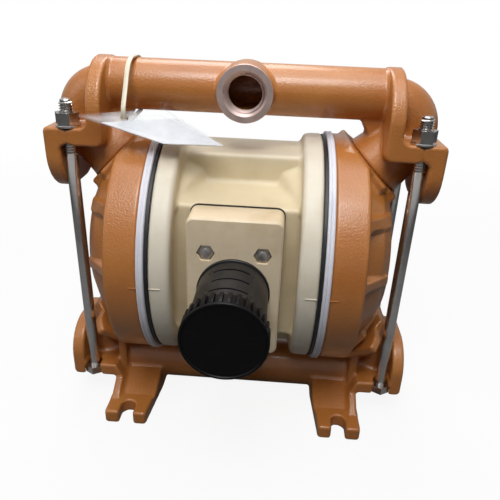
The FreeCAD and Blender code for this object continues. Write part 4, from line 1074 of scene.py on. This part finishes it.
def add_hexagon(bm: bmesh.types.BMesh, place: Matrix, flats: float, height: float, hole: float = 0.0) -> None:
    """Add a hexagon bar with turned chamfers, as of a nut or a bolt head.

    Args:
        bm: The bmesh that takes the result.
        place: Place of its low end, with its axis along Z.
        flats: Width across the flats.
        height: Height along the axis.
        hole: Radius of a hole right through it, or 0 for none.
    """
    corner = flats / math.sqrt(3.0)
    circle = flats * CHAMFER_SHARE
    inverse = place.inverted()
    middle = place @ Matrix.Translation((0.0, 0.0, height / 2.0))
    made = bmesh.ops.create_cone(bm, cap_ends=True, segments=6, radius1=corner, radius2=corner, depth=height,
                                 matrix=middle)
    sides = {face for vert in made["verts"] for face in vert.link_faces}
    caps = [face for face in sides if len(face.verts) == 6]
    for cap in caps:
        level = (inverse @ cap.calc_center_median()).z
        inward = -1.0 if level > height / 2.0 else 1.0
        bmesh.ops.subdivide_edges(bm, edges=list(cap.edges), cuts=7)
        outer = list(cap.verts)
        bmesh.ops.inset_region(bm, faces=[cap], thickness=flats * 0.02)
        set_radius(cap.verts, place, circle, level)
        for vert in outer:
            local = inverse @ vert.co
            local.z = level + inward * (local.xy.length - circle) * CHAMFER_SLOPE
            vert.co = place @ local
        if hole > 0.0:
            bmesh.ops.inset_region(bm, faces=[cap], thickness=flats * 0.02)
            set_radius(cap.verts, place, hole + 0.3 * MM, level)
            bmesh.ops.inset_region(bm, faces=[cap], thickness=flats * 0.01)
            set_radius(cap.verts, place, hole, level + inward * 0.3 * MM)
    if hole > 0.0:
        edges = [edge for cap in caps for edge in cap.edges]
        bmesh.ops.delete(bm, geom=caps, context="FACES_ONLY")
        bmesh.ops.bridge_loops(bm, edges=edges)


@dataclass
class Nuts:
    """Hexagon nuts with turned chamfers, some with a raised collar."""

    name: str
    node: str
    slot: str
    places: Tuple[Matrix, ...]
    flats: float
    height: float
    hole: float
    collar: float = 0.0

    def build(self, finishes: Finishes) -> None:
        """Build the nuts as one piece."""
        bm = bmesh.new()
        for place in self.places:
            add_hexagon(bm, place, self.flats, self.height, self.hole)
            if self.collar > 0.0:
                self.add_collar(bm, place)
        place_piece(from_bmesh(bm, self.name, 30.0), finishes, self.slot, self.node)

    def add_collar(self, bm: bmesh.types.BMesh, place: Matrix) -> None:
        """Add a rounded ring on the nut's outer face."""
        low = self.height - 0.5 * MM
        high = self.height + self.collar
        wide = self.hole + 1.2 * MM
        profile = [
            (self.hole + 0.1 * MM, low), (wide, low), (wide, high - 0.35 * MM), (wide - 0.3 * MM, high),
            (self.hole + 0.4 * MM, high), (self.hole + 0.1 * MM, high - 0.3 * MM),
        ]
        spin_placed(bm, profile, place, True, 48)


@dataclass
class ScrewEnds:
    """Domed ends of the long screws, shown in the sunk nuts."""

    places: Tuple[Matrix, ...]
    radius: float = 2.5 * MM
    length: float = 5.0 * MM
    dome: float = 0.9 * MM

    def build(self, finishes: Finishes) -> None:
        """Build the four ends as one piece."""
        bm = bmesh.new()
        radius, top = self.radius, self.length
        profile = [
            (0.0, 0.0), (radius, 0.0), (radius, top - self.dome), (radius * 0.86, top - self.dome * 0.4),
            (radius * 0.62, top - self.dome * 0.1), (radius * 0.4, top), (radius * 0.3, top - 0.5 * MM),
            (0.0, top - 0.8 * MM),
        ]
        for place in self.places:
            spin_placed(bm, profile, place, False, 40)
        place_piece(from_bmesh(bm, "valve_screw_ends", 40.0), finishes, "zinc_screws")


@dataclass
class MufflerCap:
    """Muffler cap with a thin rim, a dished face and ribs over a deep groove behind the rim."""

    front: float = -136.3 * MM
    dish: float = 0.7 * MM
    face_t: float = 3.0 * MM
    inner_r: float = 20.6 * MM
    rim: float = 1.7 * MM
    groove: float = 1.7 * MM
    back: float = -123.0 * MM
    radius: float = 25.9 * MM
    floor: float = 24.1 * MM
    groove_r: float = 21.8 * MM
    ribs: int = 32
    rib_width: float = 2.4 * MM
    rib_end: float = 0.9 * MM
    rib_bevel: float = 0.25 * MM
    edge: float = 0.2 * MM

    def build(self, finishes: Finishes) -> None:
        """Build the cap."""
        bm = bmesh.new()
        front, radius, edge = self.front, self.radius, self.edge
        rim = front + self.rim
        groove = rim + self.groove
        profile = [
            (0.0, front + self.dish), (radius - 2.0 * MM, front + self.dish), (radius - 1.5 * MM, front),
            (radius - 0.5 * MM, front), (radius, front + 0.5 * MM), (radius, rim - edge), (radius - edge, rim),
            (self.groove_r, rim), (self.groove_r, groove), (self.floor, groove), (self.floor, self.back - edge),
            (self.floor - edge, self.back), (self.inner_r, self.back), (self.inner_r, front + self.face_t),
            (0.0, front + self.face_t),
        ]
        spin_front(bm, profile, MUFFLER_Z, False)
        for k in range(self.ribs):
            self.rib(bm, math.tau * (k + 0.5) / self.ribs, rim, self.back - self.rib_end)
        place_piece(from_bmesh(bm, "muffler_cap_ribbed", 30.0), finishes, "cap_plastic", "muffler_cap")

    def rib(self, bm: bmesh.types.BMesh, angle: float, low: float, high: float) -> None:
        """Add one rounded rib at an angle."""
        inner = self.groove_r - 0.3 * MM
        outer = self.radius + 0.1 * MM
        place = Matrix.Translation((0.0, 0.0, MUFFLER_Z)) @ Matrix.Rotation(angle, 4, "Y")
        place = place @ Matrix.Translation((0.0, (low + high) / 2.0, (inner + outer) / 2.0))
        add_soft_box(bm, place, (self.rib_width, high - low + self.edge, outer - inner), self.rib_bevel)


@dataclass
class MufflerDetails:
    """Foot ring of the barrel and the small domes beyond the ends of its slots."""

    back: float = -79.5 * MM
    barrel_r: float = 23.2 * MM
    slots: Tuple[float, ...] = (-115.6 * MM, -103.8 * MM, -92.0 * MM)
    dome_x: float = 13.6 * MM
    dome_r: float = 0.6 * MM

    def build(self, finishes: Finishes) -> None:
        """Build the ring and the domes as one piece."""
        bm = bmesh.new()
        inner = self.barrel_r - 0.3 * MM
        outer = self.barrel_r + 0.9 * MM
        profile = [
            (inner, self.back - 2.0 * MM), (outer - 0.3 * MM, self.back - 2.0 * MM), (outer, self.back - 1.7 * MM),
            (outer, self.back - 0.1 * MM), (inner, self.back - 0.1 * MM),
        ]
        spin_front(bm, profile, MUFFLER_Z, True)
        rise = math.sqrt(self.barrel_r ** 2 - self.dome_x ** 2)
        for y in self.slots:
            for side in SIDES:
                place = Matrix.Translation((side * self.dome_x, y, MUFFLER_Z + rise))
                bmesh.ops.create_uvsphere(bm, u_segments=16, v_segments=8, radius=self.dome_r, matrix=place)
        place_piece(from_bmesh(bm, "muffler_details", 40.0), finishes, "muffler_plastic")


@dataclass
class TagCard:
    """Blank card in the tag's clear sleeve, with a clear border at the tie."""

    corners: Tuple[Point, Point, Point, Point] = (
        (-106.7 * MM, -42.5 * MM, 236.4 * MM), (-49.6 * MM, -50.0 * MM, 222.7 * MM),
        (-10.2 * MM, -41.3 * MM, 221.0 * MM), (-54.5 * MM, -22.0 * MM, 239.1 * MM),
    )
    near: float = 0.25
    far: float = 0.985
    side: float = 0.03
    thickness: float = 0.3 * MM

    def build(self, finishes: Finishes) -> None:
        """Build the card."""
        bm = bmesh.new()
        bmesh.ops.create_grid(bm, x_segments=16, y_segments=16, size=0.5)
        left, front, right, back = (Vector(corner) for corner in self.corners)
        for vert in bm.verts:
            u = self.near + (vert.co.x + 0.5) * (self.far - self.near)
            v = self.side + (vert.co.y + 0.5) * (1.0 - 2.0 * self.side)
            vert.co = left.lerp(front, u).lerp(back.lerp(right, u), v)
        bmesh.ops.solidify(bm, geom=bm.faces, thickness=self.thickness)
        place_piece(from_bmesh(bm, "tag_card_blank", 40.0), finishes, "card", "tag_card")


@dataclass
class TieBolts:
    """Four long bolts with rolled threads and chamfered hexagon heads."""

    x: float = 118.9 * MM
    y: float = 28.6 * MM
    head_low: float = 21.7 * MM
    head_high: float = 28.0 * MM
    head_flats: float = 14.3 * MM
    shank_r: float = 4.2 * MM
    thread_r: float = 4.75 * MM
    root_r: float = 3.75 * MM
    thread_low: float = 206.4 * MM
    top: float = 244.4 * MM
    pitch: float = 1.75 * MM

    def build(self, finishes: Finishes) -> None:
        """Build the bolts as one piece."""
        bm = bmesh.new()
        for side_x in SIDES:
            for side_y in SIDES:
                self.bolt(bm, side_x * self.x, side_y * self.y)
        place_piece(from_bmesh(bm, "tie_bolts_threaded", 35.0), finishes, "stainless", "tie_bolts")

    def bolt(self, bm: bmesh.types.BMesh, x: float, y: float) -> None:
        """Add one bolt at a place."""
        profile = [
            (0.0, self.head_high - 1.0 * MM), (self.shank_r, self.head_high - 1.0 * MM),
            (self.shank_r, self.thread_low - 1.0 * MM), (self.root_r, self.thread_low),
            (self.root_r, self.top - 0.8 * MM), (self.root_r - 0.7 * MM, self.top), (0.0, self.top),
        ]
        spin_placed(bm, profile, Matrix.Translation((x, y, 0.0)), False, 48)
        half = self.pitch * 0.46
        low = self.thread_low + half
        crest = self.pitch * 0.08
        inner = self.root_r - 0.1 * MM
        section = [(inner, low - half), (self.thread_r, low - crest), (self.thread_r, low + crest), (inner, low + half)]
        turns = (self.top - 1.4 * MM - low - half) / self.pitch
        points = [Vector((x + r, y, z)) for r, z in section]
        spin_coil(bm, points, Vector((x, y, 0.0)), Z_AXIS, self.pitch, turns)
        add_hexagon(bm, Matrix.Translation((x, y, self.head_low)), self.head_flats, self.head_high - self.head_low)


@dataclass
class WitnessMarks:
    """Short raised lines across the joints that show how the castings are turned."""

    name: str
    slot: str
    low_x: float
    high_x: float
    radius: float
    height: float = 0.8 * MM
    rise: float = 0.45 * MM
    bevel: float = 0.15 * MM

    def build(self, finishes: Finishes) -> None:
        """Build the marks on both sides of the pump as one piece."""
        bm = bmesh.new()
        middle = (self.low_x + self.high_x) / 2.0
        for side in SIDES:
            place = Matrix.Translation((side * middle, -self.radius, SHAFT_Z))
            add_soft_box(bm, place, (self.high_x - self.low_x, 2.0 * self.rise, self.height), self.bevel)
        place_piece(from_bmesh(bm, self.name), finishes, self.slot)


class Dressing:
    """CAD nodes that keep their own shape and only take a finish."""

    def build(self, finishes: Finishes) -> None:
        """Give every shown CAD node its slot's material."""
        slots = {row["node"]: row["material_slot"] for row in frame["record"]["subparts"]}
        for name, obj in frame["nodes"].items():
            if not obj.hide_render:
                finishes.dress(obj, slots[name])
                LOG.info("%s: %s", name, slots[name])


@dataclass
class Studio:
    """Pale floor, soft lamps, world and camera."""

    camera_place: Point = (0.0238, -0.3712, 0.3050)
    yaw: float = 2.7
    pitch: float = 25.5
    roll: float = 2.3
    focal_px: float = 514.9
    frame_px: float = 500.0
    sensor: float = 36.0
    ambient: float = 0.045
    mirrored: float = 0.55
    floor_size: float = 40.0
    floor_glow: float = 0.9
    floor_near: float = 0.3
    floor_far: float = 0.9
    floor_bounce: float = 0.1
    floor_mirrored: float = 0.22
    floor_white: float = 0.85

    def build(self) -> None:
        """Build the whole studio."""
        self.floor()
        self.world()
        self.lamp("overhead", (0.03, -0.16, 0.84), (0.0, 0.0, 0.14), 0.6, 2.8)
        self.lamp("behind", (-0.12, 0.55, 1.05), (0.0, 0.0, 0.2), 0.5, 4.5)
        self.lamp("front", (-0.04, -0.70, 1.15), (0.0, 0.0, 0.14), 0.5, 7.2)
        self.lamp("left", (-1.0, -0.55, 0.75), (0.0, 0.0, 0.14), 0.7, 1.8)
        self.camera()
        bpy.context.scene.view_settings.view_transform = "Standard"

    def floor(self) -> None:
        """Pale floor that stays near white and keeps the pump's soft shadow."""
        bm = bmesh.new()
        bmesh.ops.create_grid(bm, x_segments=1, y_segments=1, size=self.floor_size)
        obj = bmesh_object(bm, "floor")
        s = Shading("floor")
        s.set(Specular_IOR_Level=0.1)
        dim, mirrored, white = (
            (level, level, level, 1.0) for level in (self.floor_bounce, self.floor_mirrored, self.floor_white)
        )
        path = s.add("ShaderNodeLightPath")
        tone = s.mix(path.outputs["Is Glossy Ray"], dim, mirrored)
        s.finish(s.mix(self.seen(s.tree), tone, white), 0.9, None)
        glow = s.add("ShaderNodeEmission")
        blend = s.add("ShaderNodeMixShader")
        share = s.add("ShaderNodeMath")
        share.operation = "MULTIPLY"
        reach = s.ramp(s.length(s.coords), self.floor_near, self.floor_far)
        s.link(s.between(reach, self.floor_glow, 1.0), share.inputs[1])
        s.link(self.seen(s.tree), share.inputs[0])
        s.link(share.outputs[0], blend.inputs[0])
        s.link(s.shader.outputs[0], blend.inputs[1])
        s.link(glow.outputs[0], blend.inputs[2])
        s.link(blend.outputs[0], s.tree.nodes["Material Output"].inputs["Surface"])
        obj.data.materials.append(s.material)

    def seen(self, tree: bpy.types.NodeTree) -> bpy.types.NodeSocket:
        """Output that is 1 for camera and transmitted rays."""
        path = tree.nodes.new("ShaderNodeLightPath")
        top = tree.nodes.new("ShaderNodeMath")
        top.operation = "MAXIMUM"
        tree.links.new(path.outputs["Is Camera Ray"], top.inputs[0])
        tree.links.new(path.outputs["Is Transmission Ray"], top.inputs[1])
        return top.outputs[0]

    def world(self) -> None:
        """World that lights softly and is white where it is seen."""
        world = bpy.data.worlds.new("studio")
        world.use_nodes = True
        bpy.context.scene.world = world
        tree = world.node_tree
        background = tree.nodes["Background"]
        background.inputs["Color"].default_value = (1.0, 1.0, 1.0, 1.0)
        glossy = tree.nodes.new("ShaderNodeMapRange")
        glossy.inputs["To Min"].default_value = self.ambient
        glossy.inputs["To Max"].default_value = self.mirrored
        path = tree.nodes.new("ShaderNodeLightPath")
        tree.links.new(path.outputs["Is Glossy Ray"], glossy.inputs["Value"])
        level = tree.nodes.new("ShaderNodeMath")
        level.operation = "MAXIMUM"
        tree.links.new(self.seen(tree), level.inputs[0])
        tree.links.new(glossy.outputs["Result"], level.inputs[1])
        tree.links.new(level.outputs[0], background.inputs["Strength"])

    def lamp(self, name: str, place: Point, target: Point, size: float, power: float) -> None:
        """Square soft lamp that points at a target.

        Args:
            name: Name of the lamp.
            place: Where it hangs.
            target: What it points at.
            size: Side of the square in metres.
            power: Power in watts.
        """
        data = bpy.data.lights.new(name, "AREA")
        data.size = size
        data.energy = power
        obj = bpy.data.objects.new(name, data)
        obj.location = place
        way = Vector(target) - Vector(place)
        obj.rotation_euler = way.to_track_quat("-Z", "Y").to_euler()
        bpy.context.scene.collection.objects.link(obj)

    def camera(self) -> None:
        """Camera at the photograph's place and angle."""
        data = bpy.data.cameras.new("camera")
        data.sensor_width = self.sensor
        data.lens = self.focal_px / self.frame_px * self.sensor
        obj = bpy.data.objects.new("camera", data)
        yaw, pitch, roll = (math.radians(a) for a in (self.yaw, self.pitch, self.roll))
        forward = Vector((-math.sin(yaw) * math.cos(pitch), math.cos(yaw) * math.cos(pitch), -math.sin(pitch)))
        right = Vector((math.cos(yaw), math.sin(yaw), 0.0))
        up = right.cross(forward)
        side = right * math.cos(roll) + up * math.sin(roll)
        top = up * math.cos(roll) - right * math.sin(roll)
        turn = Matrix((side, top, -forward)).transposed().to_4x4()
        obj.matrix_world = Matrix.Translation(self.camera_place) @ turn
        bpy.context.scene.collection.objects.link(obj)
        bpy.context.scene.camera = obj


TIE_NUT_PLACES = tuple(
    Matrix.Translation((side * 118.9 * MM, front * 28.6 * MM, 227.4 * MM)) @ NUT_TURN
    for side in SIDES for front in SIDES
)
SCREW_NUT_PLACES = tuple(
    Matrix.Translation((side * 18.2 * MM, -73.3 * MM, SHAFT_Z + up * 25.5 * MM)) @ FACE_FRONT @ NUT_TURN
    for side in SIDES for up in SIDES
)

BACKUP_EDGE = ((55.2, 76.0), (55.2, 84.9), (55.6, 85.3), (57.3, 85.3), (57.7, 84.9), (57.7, 76.0))
BEAD_EDGE = (
    (57.7, 76.0), (57.7, 86.6), (58.0, 87.2), (58.6, 87.5), (59.3, 87.4), (59.9, 87.0), (60.1, 86.8), (60.3, 87.0),
    (60.9, 87.4), (61.6, 87.5), (62.2, 87.2), (62.5, 86.6), (62.5, 77.0), (59.7, 76.0),
)

EDGED = (
    ("tie_bolt_washers", "stainless", 0.2 * MM),
    ("valve_screws", "zinc_screws", 0.3 * MM),
    ("air_valve_end_cap", "valve_casting", 0.8 * MM),
    ("air_valve_cap_screws", "zinc_screws", 0.3 * MM),
    ("tag_tie", "tie_nylon", 0.25 * MM),
)


def main() -> None:
    """Build the pump's pieces in order."""
    logging.basicConfig(level=logging.INFO, format="%(name)s %(message)s")
    finishes = Finishes()
    Studio().build()
    port = OutletPort()
    Casting("discharge_manifold", "casting", 0.95 * MM).build(finishes, port.shape)
    port.build(finishes)
    InletCasting("inlet_manifold", "casting", 0.95 * MM).build(finishes)
    ChamberCasting("liquid_chamber_right", "casting", 0.95 * MM, side=1).build(finishes)
    ChamberCasting("liquid_chamber_left", "casting", 0.95 * MM, side=-1).build(finishes)
    CentreCasting("center_section", "center_plastic", 1.2 * MM, 0.9 * MM, 0.3 * MM).build(finishes)
    ValveCasting("air_valve_body", "valve_casting", 0.9 * MM, 0.9 * MM, 0.3 * MM).build(finishes)
    TieBolts().build(finishes)
    Nuts("tie_nuts_chamfered", "tie_bolt_nuts", "stainless", TIE_NUT_PLACES, 14.3 * MM, 8.2 * MM,
         4.8 * MM).build(finishes)
    Nuts("sunk_nuts_chamfered", "valve_screw_nuts", "zinc_screws", SCREW_NUT_PLACES, 8.8 * MM, 4.2 * MM, 3.0 * MM,
         0.6 * MM).build(finishes)
    ScrewEnds(SCREW_NUT_PLACES).build(finishes)
    MufflerPlate().build(finishes)
    MufflerBarrel().build(finishes)
    MufflerCap().build(finishes)
    MufflerDetails().build(finishes)
    TagCard().build(finishes)
    for name, side in (("right", 1), ("left", -1)):
        Diaphragm("backup_diaphragm_" + name, "backup_rubber", side, 55.2 * MM, 2.5 * MM, BACKUP_EDGE).build(finishes)
        Diaphragm("ptfe_diaphragm_" + name, "ptfe", side, 57.7 * MM, 2.0 * MM, BEAD_EDGE).build(finishes)
    for node, slot, width in EDGED:
        Edged(node, slot, width).build(finishes)
    WitnessMarks("chamber_witness_marks", "casting", 62.6 * MM, 68.0 * MM, 86.0 * MM).build(finishes)
    WitnessMarks("rim_witness_marks", "center_plastic", 47.0 * MM, 54.6 * MM, 85.5 * MM).build(finishes)
    Dressing().build(finishes)


if __name__ == "__main__":
    main()
